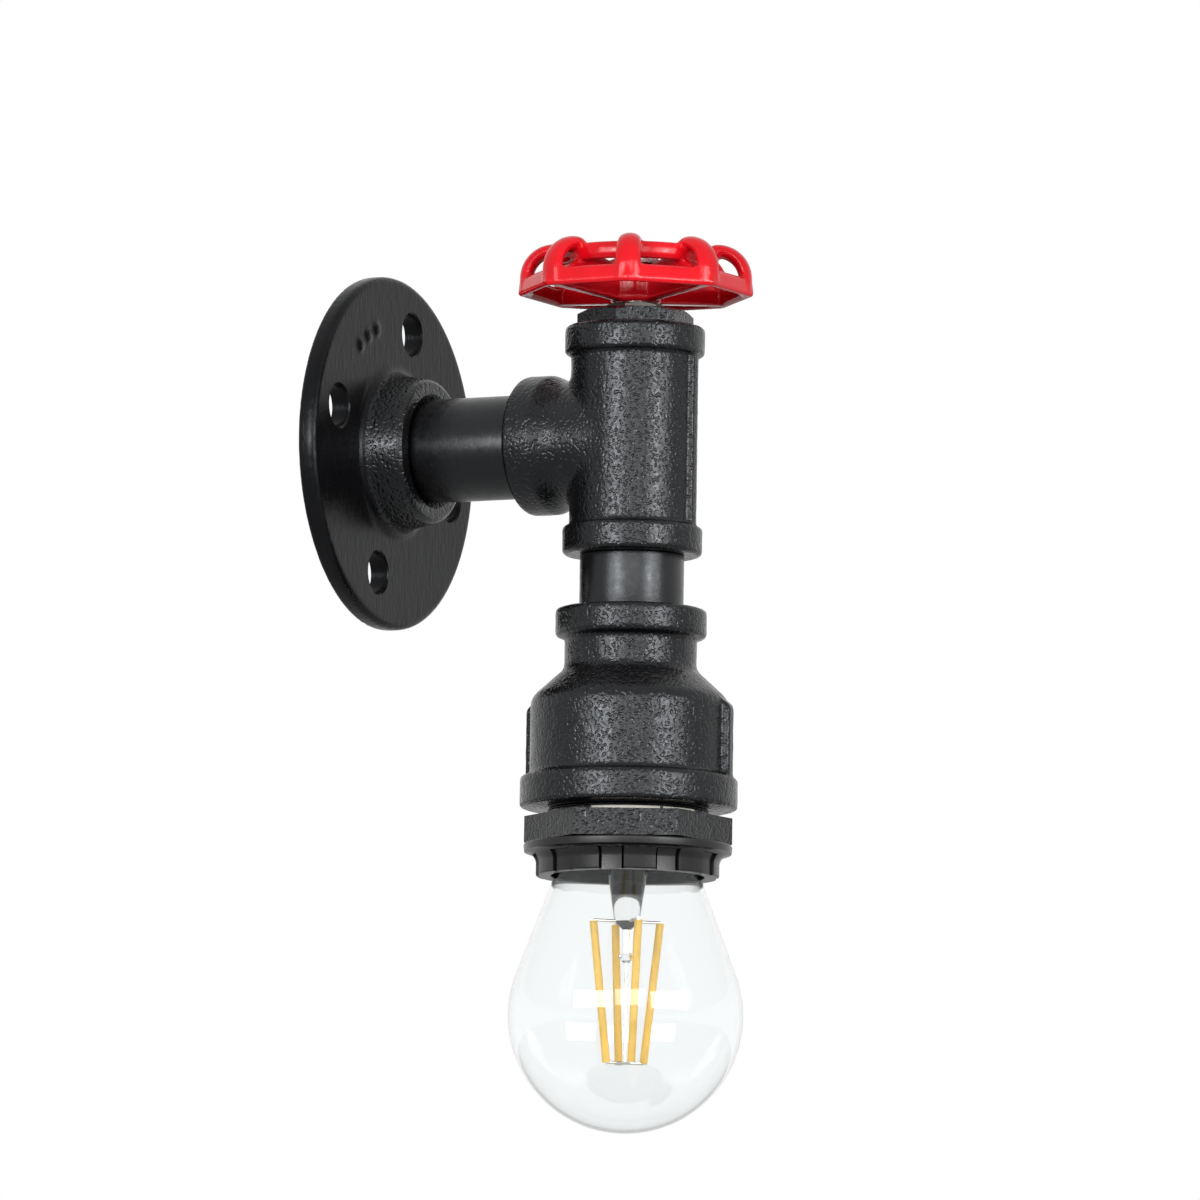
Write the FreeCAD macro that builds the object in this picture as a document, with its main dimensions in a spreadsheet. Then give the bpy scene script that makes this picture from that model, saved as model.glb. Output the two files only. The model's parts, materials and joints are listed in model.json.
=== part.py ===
"""Pipe wall light: pipe fittings on a wall flange, a handwheel that turns a switch, and an E27 bulb.

Frame: the wall is the plane Y = 0, the arm runs along -Y and the stack of fittings stands along Z.
The origin is the centre of the flange's back face. Turned pieces are drawn with their axis on Z and
are then placed. A threaded stretch is drawn at the mean radius of its thread.
"""

import FreeCAD
import Part
import Sketcher
import math
import os
import re

from FreeCAD import Placement, Rotation, Vector

SIZES = {
    # pipe, 3/4 inch
    "pipe_outer": 13.335,
    "pipe_bore": 10.465,
    "thread_mean": 12.5,
    "pipe_edge": 0.8,
    "arm_reach": 73.3,
    "arm_nipple_start": 4.75,
    "arm_nipple_long": 50.8,
    "drop_nipple_long": 38.1,
    # wall flange
    "flange_outer": 45.6,
    "flange_plate": 5.0,
    "flange_height": 16.0,
    "flange_hub_foot": 20.5,
    "flange_hub_front": 18.4,
    "flange_recess": 14.8,
    "flange_recess_deep": 1.6,
    "flange_rim_round": 1.4,
    "bolt_circle": 33.0,
    "bolt_hole": 5.5,
    "bolt_turn": 75.0,
    # tee
    "tee_half": 29.45,
    "tee_collar": 17.9,
    "tee_collar_long": 7.3,
    "tee_run": 16.3,
    "tee_branch": 15.9,
    "tee_flare_from": 17.4,
    "tee_cavity": 13.4,
    "tee_thread_long": 13.0,
    "tee_throat_round": 4.5,
    "tee_rib_wide": 3.2,
    "tee_rib_proud": 1.2,
    "tee_rib_high": 44.0,
    "casting_round": 1.0,
    # hexagon bushing on top
    "plug_flats": 26.2,
    "plug_hex_high": 3.9,
    "plug_thread_long": 12.0,
    "plug_bore": 5.1,
    "plug_turn": 6.5,
    # reducing coupling
    "reducer_top": 43.2,
    "reducer_long": 50.95,
    "reducer_collar": 19.35,
    "reducer_collar_long": 7.5,
    "reducer_neck": 16.9,
    "reducer_neck_low": 35.3,
    "reducer_body": 25.4,
    "reducer_shoulder": 27.6,
    "reducer_band": 27.8,
    "reducer_band_high": 7.8,
    "reducer_cavity": 22.4,
    "reducer_thread_high": 16.7,
    "reducer_shoulder_round": 5.0,
    "reducer_rib_wide": 5.0,
    "reducer_rib_reach": 27.4,
    "reducer_rib_high": 23.4,
    "reducer_rib_turn": 98.0,
    # hexagon bushing under the reducer
    "lamp_thread": 20.2,
    "lamp_thread_crest": 20.9,
    "lamp_thread_long": 15.15,
    "lamp_gap": 2.45,
    "lamp_hex_flats": 46.0,
    "lamp_hex_high": 6.8,
    "lamp_bore": 18.0,
    "lamp_turn": -5.3,
    # shade ring
    "ring_bore": 19.6,
    "ring_barrel": 23.4,
    "ring_barrel_high": 2.2,
    "ring_lip": 26.7,
    "ring_lip_thick": 2.0,
    "ring_long": 8.2,
    "ring_seat": 0.4,
    "ring_sweep": 4.3,
    "ring_channels": 10,
    "ring_channel_angle": 14,
    "ring_channel_deep": 0.7,
    "ring_channel_high": 5.2,
    "ring_channel_end": 23.83,
    "ring_turn": 17.0,
    # E27 lampholder
    "holder_outer": 17.8,
    "holder_inner": 13.9,
    "holder_long": 43.0,
    "holder_skirt": 19.5,
    "holder_skirt_inner": 18.3,
    "holder_skirt_high": 5.6,
    "holder_entry": 4.4,
    "holder_wall": 2.2,
    "dome_high": 8.2,
    "locknut_outer": 19.5,
    "locknut_thick": 3.2,
    "block_outer": 13.8,
    "block_thick": 6.2,
    "stud_radius": 1.2,
    "live_stud_across": 3.0,
    "rivet_across": -8.0,
    "terminal_high": 3.0,
    "terminal_deep": 6.0,
    "shell_inner": 13.35,
    "shell_wall": 0.4,
    "shell_mouth": 6.5,
    "shell_long": 25.4,
    "tongue_thick": 0.5,
    "tongue_wide": 5.0,
    "tongue_drop": 1.15,
    # rotary switch
    "case_outer": 10.0,
    "case_wall": 1.2,
    "case_floor": 1.5,
    "case_long": 14.5,
    "cover_thick": 0.8,
    "bush_outer": 5.0,
    "bush_bore": 3.22,
    "bush_long": 22.5,
    "nut_flats": 14.0,
    "nut_thick": 1.8,
    "lug_ring": 8.0,
    "lug_thick": 0.8,
    "lug_reach": 11.7,
    "lug_barrel": 1.5,
    "lug_barrel_long": 4.2,
    "post_across": 5.6,
    "post_radius": 1.4,
    "post_low": -3.6,
    "post_long": 8.4,
    "bridge_low": 5.0,
    "bridge_long": 15.0,
    "bridge_wide": 4.0,
    "bridge_thick": 0.8,
    "rotor_outer": 7.9,
    "rotor_thick": 5.0,
    "rotor_notch": 1.2,
    "spring_inner": 8.35,
    "spring_thick": 0.3,
    "spring_wide": 3.5,
    "pivot_radius": 1.5,
    "pivot_hole": 1.57,
    "shaft_radius": 3.15,
    "shaft_half_flats": 2.45,
    "shaft_tip": 2.9,
    "shaft_tip_long": 5.5,
    # handwheel
    "wheel_bottom": 37.3,
    "wheel_turn": 66.8,
    "wheel_fingers": 8,
    "wheel_spokes": 4,
    "wheel_corner": 30.5,
    "wheel_corner_high": 29.75,
    "wheel_wall": 2.1,
    "wheel_band_high": 4.8,
    "finger_low": 0.4,
    "finger_foot": 28.05,
    "finger_rise": 4.7,
    "finger_bend": 7.15,
    "finger_hook": 2.2,
    "finger_thick": 3.5,
    "finger_wide": 6.4,
    "finger_tip_thick": 3.3,
    "finger_tip_wide": 4.4,
    "wheel_edge": 1.1,
    "rim_inner": 18.3,
    "rim_outer": 21.1,
    "rim_low": 7.3,
    "rim_high": 11.85,
    "hub_radius": 6.6,
    "hub_low": -1.6,
    "hub_high": 8.2,
    "spoke_wide": 3.6,
    "washer_outer": 7.0,
    "washer_thick": 1.0,
    "wheel_nut_flats": 10.0,
    "wheel_nut_thick": 4.2,
    # bulb of size 60, heights measured down from its contact
    "bulb_tip": 73.5,
    "bulb_long": 104.0,
    "bulb_radius": 30.0,
    "bulb_slope": 20.5,
    "bulb_wall": 0.8,
    "neck_radius": 12.4,
    "neck_from": 23.5,
    "neck_shoulder": 25.2,
    "cap_radius": 13.0,
    "cap_wall": 0.3,
    "cap_from": 6.5,
    "cap_to": 25.0,
    "contact_radius": 4.6,
    "contact_thick": 1.8,
    "insulator_outer": 11.0,
    "stem_foot": 11.5,
    "stem_from": 24.0,
    "stem_to": 52.0,
    "stem_post": 58.0,
    "filament_low": 86.0,
    "filament_high": 50.0,
    "filament_out_low": 5.0,
    "filament_out_high": 9.0,
    "filament_radius": 1.0,
    "support_radius": 0.4,
    # inner wiring
    "lead_radius": 1.1,
    "lead_start": 9.0,
    "lead_bare": 3.0,
    "copper_radius": 0.5,
    "live_height": -6.0,
    "neutral_height": -7.5,
    "earth_height": 5.5,
    "lead_across": 2.2,
    "neutral_bend": 8.0,
    "live_bend": 2.2,
    "earth_bend": 3.0,
    "switched_bend": 8.0,
}

doc = FreeCAD.newDocument("pipe_wall_light")
sheet = doc.addObject("Spreadsheet::Sheet", "Sizes")
for row, (alias, number) in enumerate(SIZES.items(), start=1):
    sheet.set(f"A{row}", alias)
    sheet.set(f"B{row}", str(number))
    sheet.setAlias(f"B{row}", alias)
doc.recompute()

pieces = []


def bound(formula):
    """The formula as other objects write it, with the sheet's name before each alias."""
    return re.sub(r"[a-z_]+", lambda m: "Sizes." + m[0] if m[0] in SIZES else m[0], str(formula))


def now(formula):
    """The number that a formula of the sheet's aliases has with the present sizes."""
    return float(sheet.evalExpression(str(formula)))


def drive(thing, prop, formula):
    """Give a property its present number and tie it to the sheet."""
    number = now(formula)
    setattr(thing, prop, round(number) if isinstance(getattr(thing, prop), int) else number)
    thing.setExpression(prop, bound(formula))


def place(piece, x="0", y="0", z="0", axis=Vector(0, 0, 1), turn="0"):
    """Place a piece by formulas, turned by an angle in degrees about an axis."""
    piece.Placement = Placement(Vector(now(x), now(y), now(z)), Rotation(axis, now(turn)))
    for letter, formula in (("x", x), ("y", y), ("z", z)):
        piece.setExpression(f"Placement.Base.{letter}", bound(formula))
    piece.setExpression("Placement.Rotation.Angle", bound(turn))


def keep(piece, label):
    """Name a finished piece, which is written to a file of that name."""
    piece.Label = label
    pieces.append(piece)
    return piece


def body_of(label):
    """An empty body for one piece."""
    return keep(doc.addObject("PartDesign::Body", label), label)


def sketch_on(body, name, plane="XZ_Plane", offset=None):
    """A sketch on one of the body's own origin planes, lifted along its normal by a formula."""
    sketch = body.newObject("Sketcher::SketchObject", name)
    origin = next(f for f in body.Origin.OriginFeatures if f.Role == plane)
    sketch.AttachmentSupport = [(origin, "")]
    sketch.MapMode = "FlatFace"
    if offset is not None:
        sketch.AttachmentOffset = Placement(Vector(0, 0, now(offset)), Rotation())
        sketch.setExpression("AttachmentOffset.Base.z", bound(offset))
    return sketch


def tie(sketch, kind, formula, *ends):
    """Add one dimension to a sketch and tie it to the sheet."""
    index = sketch.addConstraint(Sketcher.Constraint(kind, *ends, now(formula)))
    sketch.setExpression(f"Constraints[{index}]", bound(formula))


def arc_between(start, end, bend):
    """The short arc from start to end; it bulges to the right of the way when bend is positive."""
    half = (end - start) * 0.5
    rise = math.sqrt(max(bend * bend - half.Length**2, 0.0))
    side = Vector(-half.y, half.x, 0).normalize() * math.copysign(1, bend)
    centre = start + half + side * rise
    first, last = (start, end) if bend > 0 else (end, start)
    angles = [math.atan2(p.y - centre.y, p.x - centre.x) for p in (first, last)]
    return Part.ArcOfCircle(Part.Circle(centre, Vector(0, 0, 1), abs(bend)), *angles)


def draw(sketch, corners, closed=True):
    """Draw a chain through corners given as (across, up) or (across, up, bend to the next one)."""
    points = [Vector(now(c[0]), now(c[1]), 0) for c in corners]
    count = len(corners) if closed else len(corners) - 1
    ends = []
    for i in range(count):
        start, end = points[i], points[(i + 1) % len(points)]
        bend = now(corners[i][2]) if len(corners[i]) > 2 else 0.0
        if bend:
            edge = sketch.addGeometry(arc_between(start, end, bend), False)
            tie(sketch, "Radius", f"abs({corners[i][2]})", edge)
            ends.append((edge, 1, 2) if bend > 0 else (edge, 2, 1))
        else:
            ends.append((sketch.addGeometry(Part.LineSegment(start, end), False), 1, 2))
    for i, (edge, first, last) in enumerate(ends):
        tie(sketch, "DistanceX", corners[i][0], -1, 1, edge, first)
        tie(sketch, "DistanceY", corners[i][1], -1, 1, edge, first)
        if closed or i + 1 < count:
            after = ends[(i + 1) % len(ends)]
            sketch.addConstraint(Sketcher.Constraint("Coincident", edge, last, after[0], after[1]))
    if not closed:
        edge, _, last = ends[-1]
        tie(sketch, "DistanceX", corners[-1][0], -1, 1, edge, last)
        tie(sketch, "DistanceY", corners[-1][1], -1, 1, edge, last)
    return sketch


def circle(sketch, radius, across="0", up="0"):
    """Draw a circle tied by its radius and centre."""
    centre = Vector(now(across), now(up), 0)
    edge = sketch.addGeometry(Part.Circle(centre, Vector(0, 0, 1), now(radius)), False)
    tie(sketch, "Radius", radius, edge)
    tie(sketch, "DistanceX", across, -1, 1, edge, 3)
    tie(sketch, "DistanceY", up, -1, 1, edge, 3)
    return sketch


def polygon(flats, sides=6):
    """Corners of a regular polygon given across its flats."""
    step = 360 / sides
    reach = f"{flats} / (2 * cos({step / 2}))"
    return [(f"{reach} * cos({k * step})", f"{reach} * sin({k * step})") for k in range(sides)]


def spin(body, name, corners, plane="XZ_Plane", cut=False, angle="360"):
    """Turn a closed outline about the sketch's upright axis, as material or as a groove."""
    before = body.Shape.Volume if cut else 0.0
    sketch = draw(sketch_on(body, name + "_outline", plane), corners)
    feature = body.newObject("PartDesign::Groove" if cut else "PartDesign::Revolution", name)
    feature.Profile = sketch
    feature.ReferenceAxis = (sketch, ["V_Axis"])
    drive(feature, "Angle", angle)
    feature.Midplane = angle != "360"
    doc.recompute()
    if cut and not body.Shape.Volume < before:
        raise RuntimeError(f"{body.Label}: {name} cuts nothing")
    return feature


def extrude(body, name, sketch, length, middle=False, cut=False, reverse=False):
    """Pad or pocket a sketch by a length."""
    before = body.Shape.Volume if cut else 0.0
    feature = body.newObject("PartDesign::Pocket" if cut else "PartDesign::Pad", name)
    feature.Profile = sketch
    drive(feature, "Length", length)
    feature.Midplane = middle
    feature.Reversed = reverse
    doc.recompute()
    if cut and not body.Shape.Volume < before:
        raise RuntimeError(f"{body.Label}: {name} cuts nothing")
    return feature


def loft(body, name, low, high, cut=False):
    """Blend one sketch into another above it, as material or as a hollow."""
    kind = "PartDesign::SubtractiveLoft" if cut else "PartDesign::AdditiveLoft"
    feature = body.newObject(kind, name)
    feature.Profile = low
    feature.Sections = [high]
    doc.recompute()
    return feature


def repeat(body, name, feature, count):
    """Repeat a feature round the body's Z axis."""
    pattern = body.newObject("PartDesign::PolarPattern", name)
    pattern.Originals = [feature]
    pattern.Axis = (next(f for f in body.Origin.OriginFeatures if f.Role == "Z_Axis"), [""])
    pattern.Angle = 360
    drive(pattern, "Occurrences", count)
    body.Tip = pattern
    doc.recompute()
    return pattern


def round_edges(body, name, radius, wanted):
    """Fillet the edges of the body that a test picks."""
    tip = body.Tip
    names = [f"Edge{i}" for i, edge in enumerate(tip.Shape.Edges, start=1) if wanted(edge)]
    if not names:
        raise RuntimeError(f"{body.Label}: {name} finds no edge")
    fillet = body.newObject("PartDesign::Fillet", name)
    fillet.Base = (tip, names)
    drive(fillet, "Radius", radius)
    doc.recompute()
    return fillet


def rings_at(*places, near=0.02):
    """A test for full circles about Z at the given (radius, height) formulas."""
    targets = [(now(radius), now(height)) for radius, height in places]

    def wanted(edge):
        curve = edge.Curve
        if not isinstance(curve, Part.Circle) or abs(curve.Axis.z) < 0.99:
            return False
        if math.hypot(curve.Center.x, curve.Center.y) > near:
            return False
        return any(
            abs(curve.Radius - r) < near and abs(curve.Center.z - up) < near for r, up in targets
        )

    return wanted


def turned(label, corners):
    """A turned piece from its outline of (radius, height) corners."""
    body = body_of(label)
    spin(body, label + "_turn", corners)
    return body


def solid(kind, name, **sizes):
    """A primitive whose sizes are tied to the sheet."""
    thing = doc.addObject(kind, name)
    for prop, formula in sizes.items():
        drive(thing, prop, formula)
    return thing


def cylinder(name, radius, height):
    """A plain cylinder standing on the origin."""
    return solid("Part::Cylinder", name, Radius=radius, Height=height)


def cut(name, base, tool):
    """One shape less another."""
    result = doc.addObject("Part::Cut", name)
    result.Base = base
    result.Tool = tool
    return result


def fuse(name, *shapes):
    """Several shapes as one."""
    result = doc.addObject("Part::MultiFuse", name)
    result.Shapes = list(shapes)
    return result


def group(label, *shapes):
    """Separate like solids kept as one piece."""
    result = doc.addObject("Part::Compound", label)
    result.Links = list(shapes)
    return keep(result, label)


def make_nipple(label, long, low_thread, high_thread):
    """A pipe nipple: plain in the middle, turned down to the thread at both ends."""
    body = turned(
        label,
        [
            ("pipe_bore", "0"),
            ("thread_mean - pipe_edge", "0"),
            ("thread_mean", "pipe_edge"),
            ("thread_mean", low_thread),
            ("pipe_outer", low_thread),
            ("pipe_outer", f"{long} - ({high_thread})"),
            ("thread_mean", f"{long} - ({high_thread})"),
            ("thread_mean", f"{long} - pipe_edge"),
            ("thread_mean - pipe_edge", long),
            ("pipe_bore", long),
        ],
    )
    return body


def make_pipes():
    """The two nipples: the arm lies along -Y, the drop hangs under the tee."""
    arm = make_nipple(
        "arm_nipple",
        "arm_nipple_long",
        "flange_height - arm_nipple_start",
        "arm_nipple_start + arm_nipple_long - arm_reach + tee_half",
    )
    place(arm, y="-arm_nipple_start", axis=Vector(1, 0, 0), turn="90")
    engaged = "(drop_nipple_long - reducer_top + tee_half) / 2"
    drop = make_nipple("drop_nipple", "drop_nipple_long", engaged, engaged)
    place(drop, y="-arm_reach", z=f"-reducer_top - {engaged}")


def make_flange():
    """Cast floor flange: round plate, drafted hub, threaded hole and four plain bolt holes."""
    body = turned(
        "wall_flange",
        [
            ("thread_mean + pipe_edge", "0"),
            ("flange_outer", "0"),
            ("flange_outer", "flange_plate"),
            ("flange_hub_foot", "flange_plate"),
            ("flange_hub_front", "flange_height"),
            ("flange_recess", "flange_height"),
            ("thread_mean", "flange_height - flange_recess_deep"),
            ("thread_mean", "pipe_edge"),
        ],
    )
    rim = rings_at(("flange_outer", "flange_plate"), ("flange_hub_front", "flange_height"))
    round_edges(body, "flange_rim_rounding", "flange_rim_round", rim)
    foot = rings_at(("flange_hub_foot", "flange_plate"))
    round_edges(body, "flange_foot_rounding", "2 * flange_rim_round", foot)
    sketch = circle(sketch_on(body, "bolt_hole_circle", "XY_Plane"), "bolt_hole", "bolt_circle")
    hole = extrude(body, "bolt_hole_cut", sketch, "4 * flange_plate", middle=True, cut=True)
    repeat(body, "bolt_holes", hole, "4")
    flat = Rotation(Vector(1, 0, 0), 90)
    body.Placement = Placement(Vector(), flat.multiply(Rotation(Vector(0, 0, 1), now("bolt_turn"))))


def make_tee():
    """Cast tee: run along Z, branch along +Y towards the wall, a mould rib on the far side."""
    body = body_of("tee")
    shoulder = "tee_half - tee_collar_long"
    spin(
        body,
        "tee_run_turn",
        [
            ("0", "-tee_half"),
            ("tee_collar", "-tee_half"),
            ("tee_collar", f"-({shoulder})"),
            ("tee_run", f"-({shoulder})"),
            ("tee_run", shoulder),
            ("tee_collar", shoulder),
            ("tee_collar", "tee_half"),
            ("0", "tee_half"),
        ],
    )
    branch = [("0", "0"), ("tee_branch", "0"), ("tee_branch", "tee_flare_from")]
    branch += [("tee_collar", shoulder)]
    branch += [("tee_collar", "tee_half"), ("0", "tee_half")]
    spin(body, "tee_branch_turn", branch, plane="XY_Plane")

    def throat(edge):
        box = edge.BoundBox
        inside = abs(box.ZMax) < now("tee_branch") + 0.1 and box.YMax < now(shoulder) - 0.5
        return inside and not isinstance(edge.Curve, (Part.Line, Part.Circle))

    round_edges(body, "tee_throat_rounding", "tee_throat_round", throat)

    def collar(edge):
        curve = edge.Curve
        return isinstance(curve, Part.Circle) and abs(curve.Radius - now("tee_collar")) < 0.01

    round_edges(body, "tee_collar_rounding", "casting_round", collar)
    sketch = sketch_on(body, "tee_rib_plan", "XY_Plane")
    rib = [("-tee_rib_wide / 2", "-tee_run - tee_rib_proud"), ("-tee_rib_wide / 2", "-tee_cavity - 1")]
    rib += [("tee_rib_wide / 2", "-tee_cavity - 1"), ("tee_rib_wide / 2", "-tee_run - tee_rib_proud")]
    extrude(body, "tee_rib", draw(sketch, rib), "tee_rib_high", middle=True)
    thread_end = "tee_half - tee_thread_long"
    bore = [("0", "-tee_half"), ("thread_mean", "-tee_half"), ("thread_mean", f"-({thread_end})")]
    bore += [("tee_cavity", f"-({thread_end})"), ("tee_cavity", thread_end)]
    bore += [("thread_mean", thread_end), ("thread_mean", "tee_half"), ("0", "tee_half")]
    spin(body, "tee_run_bore", bore, cut=True)
    side = [("0", "0"), ("tee_cavity", "0"), ("tee_cavity", thread_end), ("thread_mean", thread_end)]
    side += [("thread_mean", "tee_half"), ("0", "tee_half")]
    spin(body, "tee_branch_bore", side, plane="XY_Plane", cut=True)
    place(body, y="-arm_reach")


def trim_hexagon(body, name, flats, top, bottom=None):
    """Turn the corners of a hexagon down to a cone at its free face."""
    far = f"{flats} / (2 * cos(30)) + 1"
    drop = f"({far} - {flats} / 2) * 0.5"
    corners = [(f"{flats} / 2", top), (far, f"{top} - {drop}"), (far, top)]
    if bottom is not None:
        corners = [(f"{flats} / 2", bottom), (far, bottom), (far, f"{bottom} + {drop}")]
    spin(body, name, corners, cut=True)


def make_top_bushing():
    """Hexagon bushing in the top of the tee, with a hole for the switch bush."""
    body = turned(
        "top_bushing",
        [
            ("0", "-plug_thread_long"),
            ("thread_mean - pipe_edge", "-plug_thread_long"),
            ("thread_mean", "pipe_edge - plug_thread_long"),
            ("thread_mean", "0"),
            ("0", "0"),
        ],
    )
    head = draw(sketch_on(body, "plug_hexagon", "XY_Plane"), polygon("plug_flats"))
    extrude(body, "plug_head", head, "plug_hex_high")
    trim_hexagon(body, "plug_trim", "plug_flats", "plug_hex_high")
    hole = circle(sketch_on(body, "plug_hole", "XY_Plane"), "plug_bore")
    extrude(body, "plug_bore_cut", hole, "4 * plug_thread_long", middle=True, cut=True)
    place(body, y="-arm_reach", z="tee_half", turn="plug_turn")


def make_reducer():
    """Cast reducing coupling: collar and neck above, bell below with a band and two side ribs."""
    collar_low = "reducer_long - reducer_collar_long"
    body = turned(
        "reducer",
        [
            ("lamp_thread", "0"),
            ("reducer_band", "0"),
            ("reducer_band", "reducer_band_high"),
            ("reducer_body", "reducer_band_high"),
            ("reducer_body", "reducer_shoulder"),
            ("reducer_neck", "reducer_neck_low"),
            ("reducer_neck", collar_low),
            ("reducer_collar", collar_low),
            ("reducer_collar", "reducer_long"),
            ("thread_mean", "reducer_long"),
            ("thread_mean", "reducer_long - tee_thread_long"),
            ("reducer_neck - 3.3", "reducer_long - tee_thread_long - 0.8"),
            ("reducer_neck - 3.3", "reducer_neck_low - 0.6"),
            ("reducer_cavity", "reducer_shoulder - 2"),
            ("reducer_cavity", "reducer_thread_high + 1.5"),
            ("lamp_thread", "reducer_thread_high"),
        ],
    )
    round_edges(
        body,
        "reducer_shoulder_rounding",
        "reducer_shoulder_round",
        rings_at(("reducer_body", "reducer_shoulder")),
    )
    round_edges(
        body,
        "reducer_neck_rounding",
        "reducer_shoulder_round / 2",
        rings_at(("reducer_neck", "reducer_neck_low")),
    )
    edges = [("reducer_band", "0"), ("reducer_band", "reducer_band_high")]
    edges += [("reducer_collar", collar_low), ("reducer_collar", "reducer_long")]
    round_edges(body, "reducer_band_rounding", "casting_round", rings_at(*edges))
    half = "reducer_rib_wide / 2"
    plan = [("reducer_cavity + 1", f"-{half}"), ("reducer_rib_reach", f"-{half} * 0.7")]
    plan += [("reducer_rib_reach", f"{half} * 0.7"), ("reducer_cavity + 1", half)]
    sketch = draw(sketch_on(body, "reducer_rib_plan", "XY_Plane"), plan)
    rib = extrude(body, "reducer_rib", sketch, "reducer_rib_high")
    repeat(body, "reducer_ribs", rib, "2")
    place(body, y="-arm_reach", z="-reducer_top - reducer_long", turn="reducer_rib_turn")


LAMP_HEX_BOTTOM = "-reducer_top - reducer_long - lamp_gap - lamp_hex_high"


def make_lamp_bushing():
    """Hexagon bushing in the reducer, bored out for the lampholder."""
    thread_foot = "lamp_hex_high + lamp_gap"
    body = turned(
        "lamp_bushing",
        [
            ("lamp_bore", "0"),
            ("lamp_thread_crest", "0"),
            ("lamp_thread_crest", thread_foot),
            ("lamp_thread", thread_foot),
            ("lamp_thread", f"{thread_foot} + lamp_thread_long"),
            ("lamp_bore", f"{thread_foot} + lamp_thread_long"),
        ],
    )
    sketch = sketch_on(body, "lamp_hexagon", "XY_Plane")
    draw(sketch, polygon("lamp_hex_flats"))
    circle(sketch, "lamp_bore")
    extrude(body, "lamp_head", sketch, "lamp_hex_high")
    place(body, y="-arm_reach", z=LAMP_HEX_BOTTOM, turn="lamp_turn")


def make_shade_ring():
    """Shade ring: flared lip, swept waist and a barrel with sunk channels for the fingers."""
    body = turned(
        "shade_ring",
        [
            ("ring_bore", "0"),
            ("ring_barrel", "0"),
            ("ring_barrel", "ring_barrel_high", "-ring_sweep"),
            ("ring_lip", "ring_long - ring_lip_thick"),
            ("ring_lip", "ring_long"),
            ("ring_bore", "ring_long"),
        ],
    )
    floor = "ring_barrel - ring_channel_deep"
    channel = [
        (floor, "-1"),
        ("ring_lip", "-1"),
        ("ring_lip", "ring_channel_high"),
        ("ring_channel_end", "ring_channel_high", "ring_sweep + ring_channel_deep"),
        (floor, "ring_barrel_high"),
    ]
    first = spin(body, "ring_channel", channel, cut=True, angle="ring_channel_angle")
    repeat(body, "ring_channels", first, "ring_channels")
    height = f"{LAMP_HEX_BOTTOM} - ring_seat - ring_long"
    place(body, y="-arm_reach", z=height, turn="ring_turn")


HOLDER_BOTTOM = f"{LAMP_HEX_BOTTOM} - holder_skirt_high"
HOLDER_TOP = f"{HOLDER_BOTTOM} + holder_long"
BLOCK_BOTTOM = f"{HOLDER_TOP} - block_thick"


def make_lampholder():
    """Lampholder: sleeve with a threaded skirt, locking ring, dome and the ceramic insert."""
    sleeve = turned(
        "holder_body",
        [
            ("holder_skirt_inner", "0"),
            ("holder_skirt", "0"),
            ("holder_skirt", "holder_skirt_high"),
            ("holder_outer", "holder_skirt_high"),
            ("holder_outer", "holder_long"),
            ("holder_inner", "holder_long"),
            ("holder_inner", "2 * holder_skirt_high + 1.3"),
            ("holder_outer - 1.4", "holder_skirt_high + 1.2"),
            ("holder_skirt_inner", "holder_skirt_high / 2"),
        ],
    )
    place(sleeve, y="-arm_reach", z=HOLDER_BOTTOM)

    nut = turned(
        "holder_locknut",
        [
            ("holder_outer", "0"),
            ("locknut_outer", "0"),
            ("locknut_outer", "locknut_thick"),
            ("holder_outer", "locknut_thick"),
        ],
    )
    plan = [("holder_outer + 0.7", "-2"), ("locknut_outer + 1", "-2")]
    plan += [("locknut_outer + 1", "2"), ("holder_outer + 0.7", "2")]
    sketch = draw(sketch_on(nut, "locknut_slot_plan", "XY_Plane"), plan)
    slot = extrude(nut, "locknut_slot", sketch, "locknut_thick / 2", cut=True, reverse=True)
    repeat(nut, "locknut_slots", slot, "4")
    height = f"{LAMP_HEX_BOTTOM} + lamp_hex_high + lamp_gap + lamp_thread_long"
    place(nut, y="-arm_reach", z=height)

    dome = turned(
        "holder_cap",
        [
            ("holder_outer - holder_wall", "0"),
            ("holder_outer", "0"),
            ("holder_outer - 1.8", "0.3 * dome_high"),
            ("holder_outer - 6.3", "0.61 * dome_high"),
            ("holder_entry + holder_wall", "0.68 * dome_high"),
            ("holder_entry + holder_wall", "dome_high"),
            ("holder_entry", "dome_high"),
            ("holder_entry", "0.52 * dome_high"),
            ("holder_outer - 7.3", "0.42 * dome_high"),
            ("holder_outer - holder_wall - 0.4", "0.12 * dome_high"),
        ],
    )
    place(dome, y="-arm_reach", z=HOLDER_TOP)


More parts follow.
